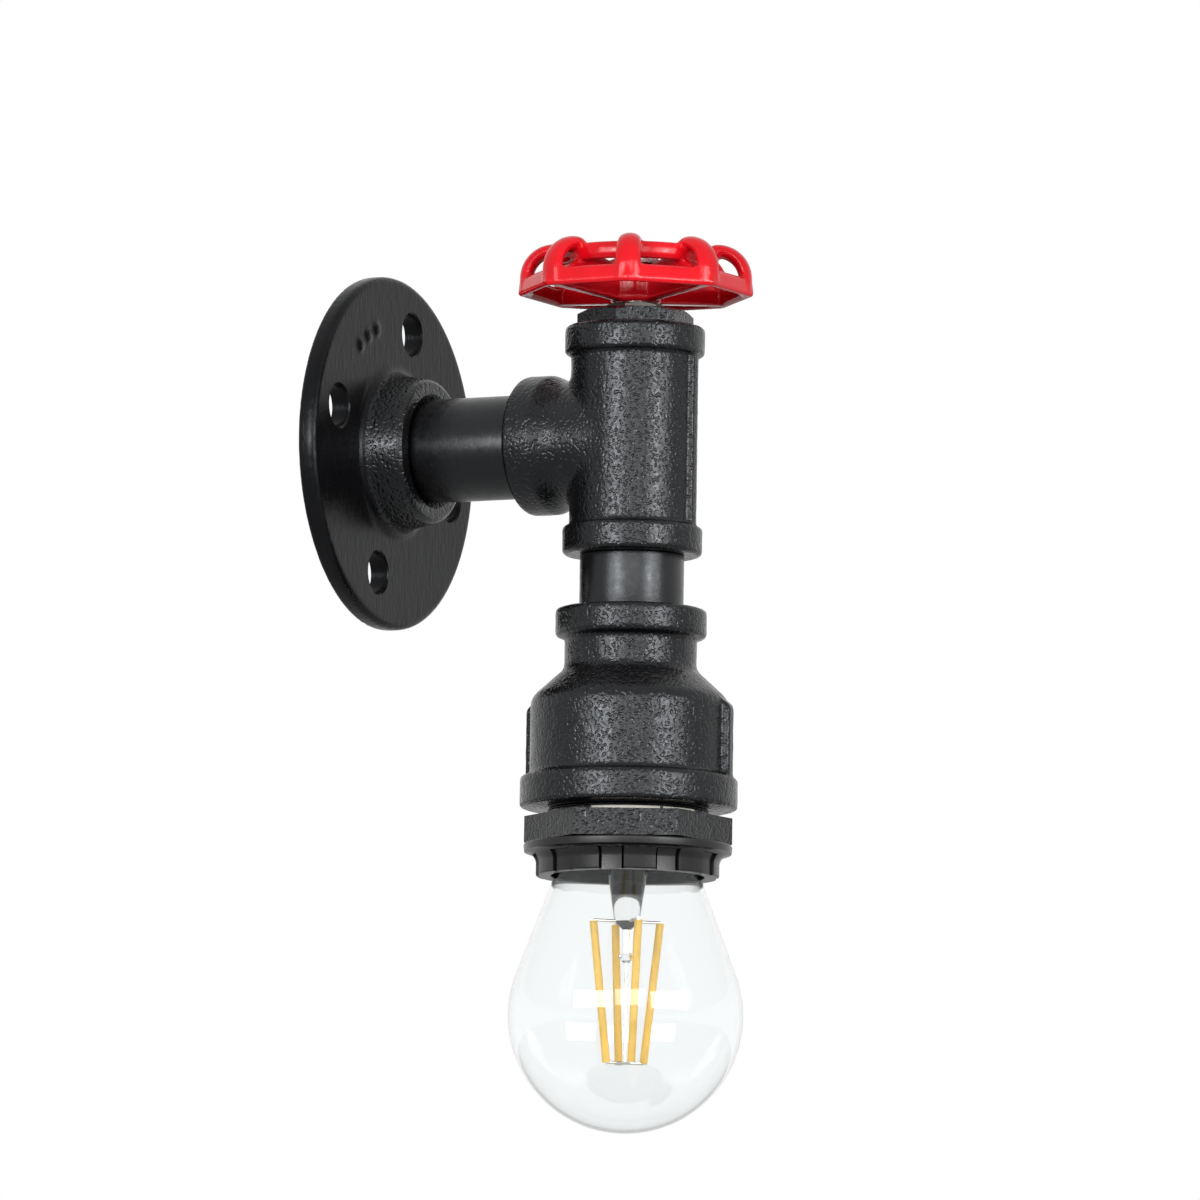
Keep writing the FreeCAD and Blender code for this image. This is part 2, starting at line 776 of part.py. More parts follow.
def make_contacts():
    """Ceramic insert with its terminals, the tongue, the screw shell and the rivet that holds it."""
    block = body_of("contact_block")
    sketch = circle(sketch_on(block, "block_plan", "XY_Plane"), "block_outer")
    circle(sketch, "stud_radius", "live_stud_across")
    circle(sketch, "stud_radius", "rivet_across")
    extrude(block, "block_pad", sketch, "block_thick")
    place(block, y="-arm_reach", z=BLOCK_BOTTOM)

    spans = {"live": ("0.9", "4.4"), "neutral": ("-9.7", "8.8")}
    for name, (start, wide) in spans.items():
        across = "live_stud_across" if name == "live" else "-live_stud_across"
        bar = solid("Part::Box", name + "_bar", Length=wide, Width="terminal_deep", Height="terminal_high")
        place(bar, x=start, y="-arm_reach - terminal_deep / 2", z=HOLDER_TOP)
        hole = cylinder(name + "_screw_hole", "stud_radius", "terminal_deep / 2")
        middle = f"{HOLDER_TOP} + terminal_high / 2"
        place(hole, x=across, y="-arm_reach", z=middle, axis=Vector(1, 0, 0), turn="90")
        terminal = cut(name + "_drilled_bar", bar, hole)
        if name == "live":
            stud = cylinder("live_stud", "stud_radius", "block_thick")
            place(stud, x="live_stud_across", y="-arm_reach", z=BLOCK_BOTTOM)
            terminal = fuse("live_bar_with_stud", terminal, stud)
        keep(terminal, name + "_terminal")

    screws = []
    for sign in ("", "-"):
        shank = cylinder("screw_shank" + sign, "stud_radius", "terminal_deep / 2 - 0.6")
        head = cylinder("screw_head" + sign, "1.2 * stud_radius", "1.2 * stud_radius")
        middle = f"{HOLDER_TOP} + terminal_high / 2"
        side = dict(x=f"{sign}live_stud_across", z=middle, axis=Vector(1, 0, 0), turn="90")
        place(shank, y="-arm_reach - 0.6", **side)
        place(head, y="-arm_reach - terminal_deep / 2", **side)
        screws.append(fuse("terminal_screw" + sign, shank, head))
    group("terminal_screws", *screws)

    shell = turned(
        "screw_shell",
        [
            ("shell_inner", "-shell_long"),
            ("shell_inner + shell_wall", "-shell_long"),
            ("shell_inner + shell_wall", "0"),
            ("shell_mouth", "0"),
            ("shell_mouth", "-shell_wall"),
            ("shell_inner", "-shell_wall"),
        ],
    )
    place(shell, y="-arm_reach", z=BLOCK_BOTTOM)
    hole = circle(sketch_on(shell, "shell_rivet_hole", "XY_Plane"), "stud_radius", "rivet_across")
    extrude(shell, "shell_rivet_cut", hole, "4 * shell_wall", middle=True, cut=True)

    pin = cylinder("rivet_pin", "stud_radius", "block_thick + shell_wall")
    place(pin, x="rivet_across", y="-arm_reach", z=f"{BLOCK_BOTTOM} - shell_wall")
    head = cylinder("rivet_head", "1.6 * stud_radius", "stud_radius / 2")
    place(head, x="rivet_across", y="-arm_reach", z=f"{BLOCK_BOTTOM} - shell_wall - stud_radius / 2")
    keep(fuse("shell_rivet", pin, head), "shell_rivet")

    tongue = body_of("centre_contact")
    reach = "live_stud_across + 1.6"
    plan = [("-tongue_wide / 2", "-tongue_wide / 2"), (reach, "-tongue_wide / 2")]
    plan += [(reach, "tongue_wide / 2"), ("-tongue_wide / 2", "tongue_wide / 2")]
    sketch = draw(sketch_on(tongue, "tongue_plan", "XY_Plane"), plan)
    extrude(tongue, "tongue_strip", sketch, "tongue_thick", reverse=True)
    dimple = [("0", "-tongue_drop"), ("1.2", "-tongue_drop")]
    dimple += [("2.2", "-tongue_thick"), ("0", "-tongue_thick")]
    spin(tongue, "tongue_dimple", dimple)
    place(tongue, y="-arm_reach", z=BLOCK_BOTTOM)


NUT_LOW = "tee_half - plug_thread_long - nut_thick"
CASE_TOP = "case_long - case_floor"


def make_switch():
    """Rotary switch in the tee: case, cover, threaded bush, contacts, spring and bush nuts."""
    case = turned(
        "switch_case",
        [
            ("pivot_hole", "-case_floor"),
            ("case_outer", "-case_floor"),
            ("case_outer", CASE_TOP),
            ("case_outer - case_wall", CASE_TOP),
            ("case_outer - case_wall", "0"),
            ("pivot_hole", "0"),
        ],
    )
    sketch = circle(sketch_on(case, "post_holes_plan", "XY_Plane"), "post_radius", "post_across")
    circle(sketch, "post_radius", "-post_across")
    extrude(case, "post_holes", sketch, "3 * case_floor", middle=True, cut=True)
    place(case, y="-arm_reach")

    cover = turned(
        "switch_cover",
        [
            ("bush_outer", "0"),
            ("case_outer", "0"),
            ("case_outer", "cover_thick"),
            ("bush_outer", "cover_thick"),
        ],
    )
    place(cover, y="-arm_reach", z=CASE_TOP)

    bush = turned(
        "switch_bush",
        [
            ("bush_bore", "0"),
            ("bush_outer", "0"),
            ("bush_outer", "bush_long - pipe_edge / 2"),
            ("bush_outer - pipe_edge / 2", "bush_long"),
            ("bush_bore", "bush_long"),
        ],
    )
    place(bush, y="-arm_reach", z=CASE_TOP)

    posts = []
    for sign in ("", "-"):
        post = cylinder("contact_post" + sign, "post_radius", "post_long")
        place(post, x=f"{sign}post_across", y="-arm_reach", z="post_low")
        posts.append(post)
    group("switch_posts", *posts)

    spring = body_of("detent_spring")
    outer = "(spring_inner + spring_thick)"
    plan = [
        ("spring_inner * cos(50)", "-spring_inner * sin(50)"),
        (f"{outer} * cos(50)", f"-{outer} * sin(50)", outer),
        (f"{outer} * cos(50)", f"{outer} * sin(50)"),
        ("spring_inner * cos(50)", "spring_inner * sin(50)", "-spring_inner"),
    ]
    sketch = draw(sketch_on(spring, "spring_plan", "XY_Plane"), plan)
    extrude(spring, "spring_strip", sketch, "spring_wide")
    place(spring, y="-arm_reach", z="bridge_low + bridge_thick + 0.7", turn="180")

    nuts = []
    for name, height in (("inner", NUT_LOW), ("outer", "tee_half + plug_hex_high")):
        prism = doc.addObject("PartDesign::Body", name + "_bush_nut")
        sketch = draw(sketch_on(prism, name + "_nut_plan", "XY_Plane"), polygon("nut_flats"))
        circle(sketch, "bush_outer")
        extrude(prism, name + "_nut_pad", sketch, "nut_thick")
        trim_hexagon(prism, name + "_nut_trim", "nut_flats", "nut_thick")
        place(prism, y="-arm_reach", z=height, turn="plug_turn")
        nuts.append(prism)
    group("bush_nuts", *nuts)

    lug = body_of("earth_lug")
    sketch = sketch_on(lug, "lug_plan", "XY_Plane")
    circle(sketch, "lug_ring")
    circle(sketch, "bush_outer")
    extrude(lug, "lug_ring_pad", sketch, "lug_thick")
    tab = [("-lug_barrel", "lug_ring - 0.6"), ("lug_barrel", "lug_ring - 0.6")]
    tab += [("lug_barrel", "lug_reach + lug_barrel"), ("-lug_barrel", "lug_reach + lug_barrel")]
    extrude(lug, "lug_tab", draw(sketch_on(lug, "lug_tab_plan", "XY_Plane"), tab), "lug_thick")
    barrel = circle(sketch_on(lug, "lug_barrel_plan", "XY_Plane"), "lug_barrel", "0", "lug_reach")
    extrude(lug, "lug_barrel_pad", barrel, "lug_barrel_long", reverse=True)
    place(lug, y="-arm_reach", z=f"{NUT_LOW} - lug_thick")


def make_turning_parts():
    """All that turns with the handwheel: shaft, rotor, contact bar, washer and nut."""
    hub_top = "wheel_bottom + hub_high"
    clearance = "0.15"
    shaft = turned(
        "switch_shaft",
        [
            ("0", f"-case_floor + {clearance}"),
            ("pivot_radius", f"-case_floor + {clearance}"),
            ("pivot_radius", clearance),
            ("shaft_radius", clearance),
            ("shaft_radius", hub_top),
            ("shaft_tip", hub_top),
            ("shaft_tip", f"{hub_top} + shaft_tip_long"),
            ("0", f"{hub_top} + shaft_tip_long"),
        ],
    )
    flats = sketch_on(shaft, "shaft_flats_plan", "XY_Plane", "wheel_bottom + hub_low")
    for sign in ("", "-"):
        near, far = f"{sign}shaft_half_flats", f"{sign}2 * shaft_half_flats"
        wide = "shaft_radius * 1.2"
        draw(flats, [(near, f"-{wide}"), (far, f"-{wide}"), (far, wide), (near, wide)])
    extrude(shaft, "shaft_flats", flats, "hub_high - hub_low", cut=True, reverse=True)
    place(shaft, y="-arm_reach", turn="wheel_turn")

    rotor = turned(
        "switch_rotor",
        [
            ("shaft_radius", "0"),
            ("rotor_outer", "0"),
            ("rotor_outer", "rotor_thick"),
            ("shaft_radius", "rotor_thick"),
        ],
    )
    notch = circle(sketch_on(rotor, "rotor_notch_plan", "XY_Plane"), "rotor_notch", "rotor_outer")
    first = extrude(rotor, "rotor_notch_cut", notch, "rotor_thick", cut=True, reverse=True)
    repeat(rotor, "rotor_notches", first, "4")
    place(rotor, y="-arm_reach", z="bridge_low + bridge_thick", turn="45")

    bridge = body_of("rotor_bridge")
    half_long, half_wide = "bridge_long / 2", "bridge_wide / 2 + shaft_radius / 2"
    plan = [
        (f"-{half_long}", "-bridge_wide / 2"),
        ("-shaft_radius - 1", f"-({half_wide})"),
        ("shaft_radius + 1", f"-({half_wide})"),
        (half_long, "-bridge_wide / 2"),
        (half_long, "bridge_wide / 2"),
        ("shaft_radius + 1", half_wide),
        ("-shaft_radius - 1", half_wide),
        (f"-{half_long}", "bridge_wide / 2"),
    ]
    sketch = draw(sketch_on(bridge, "bridge_plan", "XY_Plane"), plan)
    circle(sketch, "shaft_radius")
    extrude(bridge, "bridge_plate", sketch, "bridge_thick")
    place(bridge, y="-arm_reach", z="bridge_low")

    washer = turned(
        "wheel_washer",
        [
            ("shaft_tip", "0"),
            ("washer_outer", "0"),
            ("washer_outer", "washer_thick"),
            ("shaft_tip", "washer_thick"),
        ],
    )
    place(washer, y="-arm_reach", z=hub_top)

    nut = body_of("wheel_nut")
    sketch = draw(sketch_on(nut, "wheel_nut_plan", "XY_Plane"), polygon("wheel_nut_flats"))
    circle(sketch, "shaft_tip")
    extrude(nut, "wheel_nut_pad", sketch, "wheel_nut_thick")
    trim_hexagon(nut, "wheel_nut_trim", "wheel_nut_flats", "wheel_nut_thick")
    place(nut, y="-arm_reach", z=f"{hub_top} + washer_thick", turn="plug_turn")


def rounded_bar(across, up, thick, high):
    """Corners of a bar's section, given by its middle and its sides, with rounded edges."""
    near, far = f"({across} - {thick} / 2)", f"({across} + {thick} / 2)"
    low, top = f"({up} - {high} / 2)", f"({up} + {high} / 2)"
    edge = "wheel_edge"
    return [
        (f"{near} + {edge}", low),
        (f"{far} - {edge}", low, edge),
        (far, f"{low} + {edge}"),
        (far, f"{top} - {edge}", edge),
        (f"{far} - {edge}", top),
        (f"{near} + {edge}", top, edge),
        (near, f"{top} - {edge}"),
        (near, f"{low} + {edge}", edge),
    ]


def make_handwheel():
    """Cast valve wheel: an eight-sided band, a finger over each corner, a rim, spokes and a hub."""
    body = body_of("handwheel")
    low, high = [f"(2 * {corner} * cos(22.5))" for corner in ("wheel_corner", "wheel_corner_high")]
    foot = draw(sketch_on(body, "band_foot", "XY_Plane"), polygon(low, 8))
    top = draw(sketch_on(body, "band_top", "XY_Plane", "wheel_band_high"), polygon(high, 8))
    loft(body, "band", foot, top)
    inside = [f"({size} - 2 * wheel_wall)" for size in (low, high)]
    foot = draw(sketch_on(body, "band_inside_foot", "XY_Plane"), polygon(inside[0], 8))
    top = sketch_on(body, "band_inside_top", "XY_Plane", "wheel_band_high")
    loft(body, "band_inside", foot, draw(top, polygon(inside[1], 8)), cut=True)

    path = sketch_on(body, "finger_path")
    crown = "finger_rise + finger_bend"
    tip = ("finger_foot - finger_bend - finger_hook", f"{crown} - finger_hook")
    draw(
        path,
        [
            ("finger_foot", "finger_low"),
            ("finger_foot", "finger_rise", "finger_bend"),
            ("finger_foot - finger_bend", crown, "finger_hook"),
            tip,
        ],
        closed=False,
    )
    low_end = sketch_on(body, "finger_low_section", "XY_Plane", "finger_low")
    high_end = sketch_on(body, "finger_tip_section", "XY_Plane", tip[1])
    finger = body.newObject("PartDesign::AdditivePipe", "finger")
    finger.Profile = draw(low_end, rounded_bar("finger_foot", "0", "finger_thick", "finger_wide"))
    finger.Sections = [draw(high_end, rounded_bar(tip[0], "0", "finger_tip_thick", "finger_tip_wide"))]
    finger.Spine = (path, ["Edge1", "Edge2", "Edge3"])
    finger.Transformation = "Multisection"
    doc.recompute()
    repeat(body, "fingers", finger, "wheel_fingers")

    middle = ("(rim_inner + rim_outer) / 2", "(rim_low + rim_high) / 2")
    spin(body, "rim", rounded_bar(*middle, "(rim_outer - rim_inner)", "(rim_high - rim_low)"))

    web = [
        ("shaft_radius + 1", "hub_low"),
        ("finger_foot - 1", "finger_low"),
        ("finger_foot - 1", "wheel_band_high - 1"),
        ("rim_outer - 1.5", "rim_low + 0.8"),
        ("rim_inner + 1", "rim_high - 1.6"),
        ("shaft_radius + 1", "hub_high - 1.2"),
    ]
    spoke = extrude(body, "spoke", draw(sketch_on(body, "spoke_outline"), web), "spoke_wide", middle=True)
    repeat(body, "spokes", spoke, "wheel_spokes")

    hub = [
        ("0", "hub_low"),
        ("hub_radius - 0.8", "hub_low"),
        ("hub_radius", "hub_low + 0.8"),
        ("hub_radius", "hub_high - 0.8"),
        ("hub_radius - 0.8", "hub_high"),
        ("0", "hub_high"),
    ]
    spin(body, "hub", hub)
    hole = sketch_on(body, "hub_hole_plan", "XY_Plane")
    chord = "sqrt(shaft_radius ^ 2 - shaft_half_flats ^ 2)"
    draw(
        hole,
        [
            ("shaft_half_flats", f"-{chord}"),
            ("shaft_half_flats", chord, "shaft_radius"),
            ("-shaft_half_flats", chord),
            ("-shaft_half_flats", f"-{chord}", "shaft_radius"),
        ],
    )
    extrude(body, "hub_hole", hole, "4 * hub_high", middle=True, cut=True)
    place(body, y="-arm_reach", z="wheel_bottom", turn="wheel_turn")


def make_bulb():
    """Clear bulb: hollow glass, screw cap, insulator, contact, stem and four filaments."""
    centre = "-(bulb_long - bulb_radius)"
    inner = "(bulb_radius - bulb_wall)"
    across, up = "cos(bulb_slope)", "sin(bulb_slope)"
    wall = f"bulb_wall / {across}"
    shoulder = "neck_shoulder + 0.8"
    cone_high = f"(bulb_long - bulb_radius - bulb_radius * {up} - {shoulder})"
    meet = f"bulb_radius * {across} - {cone_high} * tan(bulb_slope)"
    glass = turned(
        "bulb_glass",
        [
            ("neck_radius - bulb_wall", "-neck_from"),
            ("neck_radius - bulb_wall", f"-({shoulder})"),
            (f"{inner} * {across}", f"{centre} + {inner} * {up}", f"-{inner}"),
            ("0", "bulb_wall - bulb_long"),
            ("0", "-bulb_long", "bulb_radius"),
            (f"bulb_radius * {across}", f"{centre} + bulb_radius * {up}"),
            (meet, f"-({shoulder})"),
            ("neck_radius", "-neck_shoulder"),
            ("neck_radius", "-neck_from"),
        ],
    )
    cap = turned(
        "bulb_cap",
        [
            ("insulator_outer + 0.2", "-cap_from"),
            ("cap_radius", "-cap_from - 1.7"),
            ("cap_radius", "-cap_to"),
            ("cap_radius - cap_wall", "-cap_to"),
            ("cap_radius - cap_wall", "-cap_from - 1.9"),
            ("insulator_outer + 0.2", "-cap_from - 0.5"),
        ],
    )
    insulator = turned(
        "bulb_insulator",
        [
            ("0", "-contact_thick"),
            ("contact_radius", "-contact_thick"),
            ("insulator_outer", "0.3 - cap_from"),
            ("insulator_outer", "-cap_from - 0.5"),
            ("0", "-cap_from - 0.5"),
        ],
    )
    contact = turned(
        "bulb_contact",
        [
            ("0", "0"),
            ("contact_radius / 2", "0"),
            ("contact_radius", "-contact_thick / 2"),
            ("contact_radius", "-contact_thick"),
            ("0", "-contact_thick"),
        ],
    )
    stem = turned(
        "glass_stem",
        [
            ("0", "-stem_from"),
            ("stem_foot", "-stem_from"),
            ("stem_foot", "-stem_from - 0.7"),
            ("stem_foot / 2", "-stem_from - 9"),
            ("3.2", "-stem_to + 2"),
            ("1.2", "-stem_to"),
            ("1.2", "-stem_post"),
            ("2.2", "-stem_post - 1"),
            ("1.2", "-stem_post - 2.5"),
            ("0", "-stem_post - 2.5"),
        ],
    )
    for piece in (glass, cap, insulator, contact, stem):
        place(piece, y="-arm_reach", z="-bulb_tip")

    make_filaments(stem)


def make_filaments(stem):
    """Four filament sticks leaning outwards, held by wires from the stem and from its mast."""
    axis_foot = Vector(0, -now("arm_reach"), -now("bulb_tip"))
    rise = now("filament_low - filament_high")
    lean = math.degrees(math.atan2(now("filament_out_high - filament_out_low"), rise))
    mast = cylinder("filament_mast", "support_radius", "filament_low - stem_post - 2.5")
    mast.Placement.Base = axis_foot - Vector(0, 0, now("filament_low"))
    wires, sticks = [mast], []
    for k in range(4):
        turn = math.radians(45 + 90 * k)
        out = Vector(math.cos(turn), math.sin(turn), 0)
        low = axis_foot - Vector(0, 0, now("filament_low"))
        high = axis_foot - Vector(0, 0, now("filament_high"))
        stick = cylinder(f"filament_{k}", "filament_radius", "filament_low - filament_high")
        foot = low + out * now("filament_out_low")
        stick.Placement = Placement(foot, Rotation(Vector(-out.y, out.x, 0), lean))
        sticks.append(stick)
        for name, level, reach in (("low", low, "filament_out_low"), ("high", high, "filament_out_high")):
            wire = cylinder(f"filament_wire_{name}_{k}", "support_radius", reach)
            wire.Placement = Placement(level, Rotation(Vector(0, 0, 1), out))
            wires.append(wire)
    filaments = group("filaments", *sticks)
    held = cut("wires_clear_of_stem", fuse("filament_wires", *wires), stem)
    keep(cut("filament_supports", held, filaments), "filament_supports")


def make_lead(label, plane, path, profile_plane, centre, lift):
    """An insulated wire along a flat path of runs and tangent arcs."""
    body = body_of(label)
    route = draw(sketch_on(body, label + "_route", plane), path, closed=False)
    section = circle(sketch_on(body, label + "_section", profile_plane, lift), "lead_radius", *centre)
    pipe = body.newObject("PartDesign::AdditivePipe", label + "_wire")
    pipe.Profile = section
    pipe.Spine = (route, [f"Edge{i + 1}" for i in range(len(path) - 1)])
    doc.recompute()
    return body


def make_wiring():
    """The wires from the wall to the switch, from the switch to the lampholder, and to earth."""
    lamp_end = f"{HOLDER_TOP} + terminal_high"
    live = make_lead(
        "live_lead",
        "YZ_Plane",
        [
            ("-lead_start", "live_height"),
            ("-arm_reach + live_bend", "live_height", "-live_bend"),
            ("-arm_reach", "live_height + live_bend"),
            ("-arm_reach", "post_low"),
        ],
        "XZ_Plane",
        ("0", "live_height"),
        "lead_start",
    )
    place(live, x="-post_across")
    neutral = make_lead(
        "neutral_lead",
        "YZ_Plane",
        [
            ("-lead_start", "neutral_height"),
            ("-arm_reach + neutral_bend", "neutral_height", "neutral_bend"),
            ("-arm_reach", "neutral_height - neutral_bend"),
            ("-arm_reach", lamp_end),
        ],
        "XZ_Plane",
        ("0", "neutral_height"),
        "lead_start",
    )
    place(neutral, x="-lead_across")
    make_lead(
        "earth_lead",
        "YZ_Plane",
        [
            ("-lead_start", "earth_height"),
            ("-arm_reach + lug_reach + earth_bend", "earth_height", "-earth_bend"),
            ("-arm_reach + lug_reach", "earth_height + earth_bend"),
            ("-arm_reach + lug_reach", f"{NUT_LOW} - lug_thick - lug_barrel_long"),
        ],
        "XZ_Plane",
        ("0", "earth_height"),
        "lead_start",
    )
    shift = "(post_across - lead_across) / 2"
    turn = math.degrees(math.acos(1 - now(shift) / now("switched_bend")))
    drop = f"switched_bend * sin({turn:.6f})"
    high = "-reducer_top"
    switched = make_lead(
        "switched_lead",
        "XZ_Plane",
        [
            ("post_across", "post_low"),
            ("post_across", high, "-switched_bend"),
            (f"post_across - {shift}", f"{high} - {drop}", "switched_bend"),
            ("lead_across", f"{high} - 2 * {drop}"),
            ("lead_across", lamp_end),
        ],
        "XY_Plane",
        ("post_across", "0"),
        "post_low",
    )
    place(switched, y="-arm_reach")

    ends = []
    starts = (("live", "-post_across", "live_height"), ("neutral", "-lead_across", "neutral_height"))
    for name, x, z in starts + (("earth", "0", "earth_height"),):
        end = cylinder(name + "_end", "copper_radius", "lead_bare")
        place(end, x=x, y="lead_bare - lead_start", z=z, axis=Vector(1, 0, 0), turn="90")
        ends.append(end)
    group("lead_ends", *ends)


def check_all():
    """Stop at any object that failed and at any piece without a sound solid."""
    doc.recompute()
    for thing in doc.Objects:
        if "Invalid" in thing.State or "Error" in thing.State:
            raise RuntimeError(f"{thing.Label} failed: {thing.State} {thing.getStatusString()}")
    for piece in pieces:
        if piece.Shape.isNull() or not piece.Shape.isValid() or not piece.Shape.Solids:
            raise RuntimeError(f"{piece.Label} has no sound solid")


def write_all():
    """Write each piece to a file of its own."""
    os.makedirs("parts", exist_ok=True)
    for piece in pieces:
        piece.Shape.exportStep(f"parts/{piece.Label}.step")
        box = piece.Shape.BoundBox
        print(
            f"{piece.Label:18s} {len(piece.Shape.Solids)} solid(s) {piece.Shape.Volume:10.1f} mm3"
            f"  z {box.ZMin:7.2f} to {box.ZMax:7.2f}"
        )


make_flange()
make_pipes()
make_tee()
make_top_bushing()
make_reducer()
make_lamp_bushing()
make_shade_ring()
make_lampholder()
make_contacts()
make_switch()
make_turning_parts()
make_handwheel()
make_bulb()
make_wiring()
check_all()
write_all()
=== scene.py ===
"""Looks of a pipe wall light: cast pipe fittings on a wall flange, a red handwheel and a bulb.

Sizes are in millimetres until a mesh is made. The wall is the plane Y = 0, the arm runs along -Y
and the stack of fittings stands along Z at STACK_Y. Castings are joined from plain forms, welded
into one skin with small fillets, and bored afterwards.
"""

import contextlib
import json
import logging
import math
from dataclasses import dataclass, field
from enum import Enum
from typing import Callable, Iterator, Sequence

import bmesh
import bpy
from mathutils import Matrix, Vector

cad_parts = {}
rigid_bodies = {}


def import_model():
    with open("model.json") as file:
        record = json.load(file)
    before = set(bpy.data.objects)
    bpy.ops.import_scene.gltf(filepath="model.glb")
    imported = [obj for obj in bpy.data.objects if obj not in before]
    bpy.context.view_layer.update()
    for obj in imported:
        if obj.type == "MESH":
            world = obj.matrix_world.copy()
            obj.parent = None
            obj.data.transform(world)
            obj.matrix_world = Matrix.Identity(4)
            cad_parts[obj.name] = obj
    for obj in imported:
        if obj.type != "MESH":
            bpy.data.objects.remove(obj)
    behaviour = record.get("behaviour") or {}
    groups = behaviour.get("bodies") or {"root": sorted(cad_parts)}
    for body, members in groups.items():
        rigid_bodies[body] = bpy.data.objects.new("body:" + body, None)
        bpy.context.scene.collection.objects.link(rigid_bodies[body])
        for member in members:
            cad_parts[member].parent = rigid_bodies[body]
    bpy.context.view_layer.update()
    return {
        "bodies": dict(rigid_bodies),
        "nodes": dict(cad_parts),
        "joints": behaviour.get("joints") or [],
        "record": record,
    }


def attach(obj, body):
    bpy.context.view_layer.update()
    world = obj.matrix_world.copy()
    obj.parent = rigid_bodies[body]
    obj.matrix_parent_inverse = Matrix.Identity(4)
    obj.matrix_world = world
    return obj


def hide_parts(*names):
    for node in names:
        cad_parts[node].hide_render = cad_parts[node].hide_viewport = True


MM = 0.001
HAIR = 1e-6
STACK_Y = -73.3
FLANGE_HIGH = 16.0
TEE_HALF = 29.45
PLUG_TOP = TEE_HALF + 3.9
PLUG_FOOT = TEE_HALF - 12.0
REDUCER_TOP = -43.2
PIPE_THREAD = 12.5
LAMP_THREAD = 20.2
SOOT = (0.0045, 0.0045, 0.005)
PITCH = (0.0025, 0.0025, 0.003)
log = logging.getLogger("pipe_wall_light")

Corner = Sequence[float]
Outline = list[tuple[float, float]]
Colour = tuple[float, float, float]
Piece = bpy.types.Object
Socket = bpy.types.NodeSocket


class Axis(Enum):
    """The way a turned piece's axis points once it is in place."""

    UP = "up"
    FROM_WALL = "from wall"
    TO_WALL = "to wall"

    def turn(self) -> Matrix:
        """The rotation that takes +Z to this way.

        Returns:
            The rotation.
        """
        if self is Axis.UP:
            return Matrix.Identity(4)
        angle = 90 if self is Axis.FROM_WALL else -90
        return Matrix.Rotation(math.radians(angle), 4, "X")


# Bench work


def deselect() -> None:
    """Leave nothing selected and nothing active."""
    for thing in list(bpy.context.selected_objects):
        thing.select_set(False)
    bpy.context.view_layer.objects.active = None


def pick(*pieces: Piece) -> Piece:
    """Select pieces, the first as the active one.

    Args:
        pieces: What to select.

    Returns:
        The active piece.
    """
    deselect()
    for piece in pieces:
        piece.select_set(True)
    bpy.context.view_layer.objects.active = pieces[0]
    return pieces[0]


def named(name: str) -> Piece:
    """Name the primitive that was just added.

    Args:
        name: Its name.

    Returns:
        The primitive.
    """
    piece = bpy.context.object
    piece.name = name
    return piece


@contextlib.contextmanager
def shaping(piece: Piece, kind: str = "VERT", whole: bool = True) -> Iterator[None]:
    """Work on one piece in edit mode.

    Args:
        piece: The piece to shape.
        kind: VERT, EDGE or FACE.
        whole: Whether all of it is selected at the start.

    Yields:
        Nothing; edit mode ends with the block.
    """
    pick(piece)
    bpy.ops.object.mode_set(mode="EDIT")
    bpy.ops.mesh.select_mode(type=kind)
    if whole:
        bpy.ops.mesh.select_all(action="SELECT")
    yield
    bpy.ops.object.mode_set(mode="OBJECT")


def choose_faces(piece: Piece, test: Callable[[bmesh.types.BMFace], bool]) -> None:
    """Select only the faces that pass a test, in edit mode.

    Args:
        piece: The piece in edit mode.
        test: Says of a face whether it is wanted.
    """
    bpy.ops.mesh.select_all(action="DESELECT")
    mesh = bmesh.from_edit_mesh(piece.data)
    for face in mesh.faces:
        if test(face):
            face.select_set(True)
    bmesh.update_edit_mesh(piece.data)


def revolve(steps: int, angle: float = math.tau) -> None:
    """Turn what is selected about the Z axis, in edit mode."""
    bpy.ops.mesh.spin(steps=steps, angle=angle, center=(0, 0, 0), axis=(0, 0, 1))


def soften(corners: Sequence[Corner], steps: int = 5) -> Outline:
    """Round the corners of a closed outline that carry a third number.

    Args:
        corners: (across, up) or (across, up, radius).
        steps: Short lines in each rounding.

    Returns:
        The outline's points.
    """
    points: Outline = []
    count = len(corners)
    for i, corner in enumerate(corners):
        here = Vector(corner[:2])
        if len(corner) < 3 or corner[2] <= 0:
            points.append((here.x, here.y))
            continue
        before = Vector(corners[i - 1][:2]) - here
        after = Vector(corners[(i + 1) % count][:2]) - here
        half = before.angle(after) / 2
        reach = min(corner[2] / math.tan(half), before.length * 0.49, after.length * 0.49)
        radius = reach * math.tan(half)
        start = here + before.normalized() * reach
        end = here + after.normalized() * reach
        middle_way = (before.normalized() + after.normalized()).normalized()
        centre = here + middle_way * (radius / math.sin(half))
        first, last = start - centre, end - centre
        sweep = first.angle_signed(last)
        for k in range(steps + 1):
            turn = -sweep * k / steps
            cos, sin = math.cos(turn), math.sin(turn)
            across = centre.x + first.x * cos - first.y * sin
            points.append((across, centre.y + first.x * sin + first.y * cos))
    return points


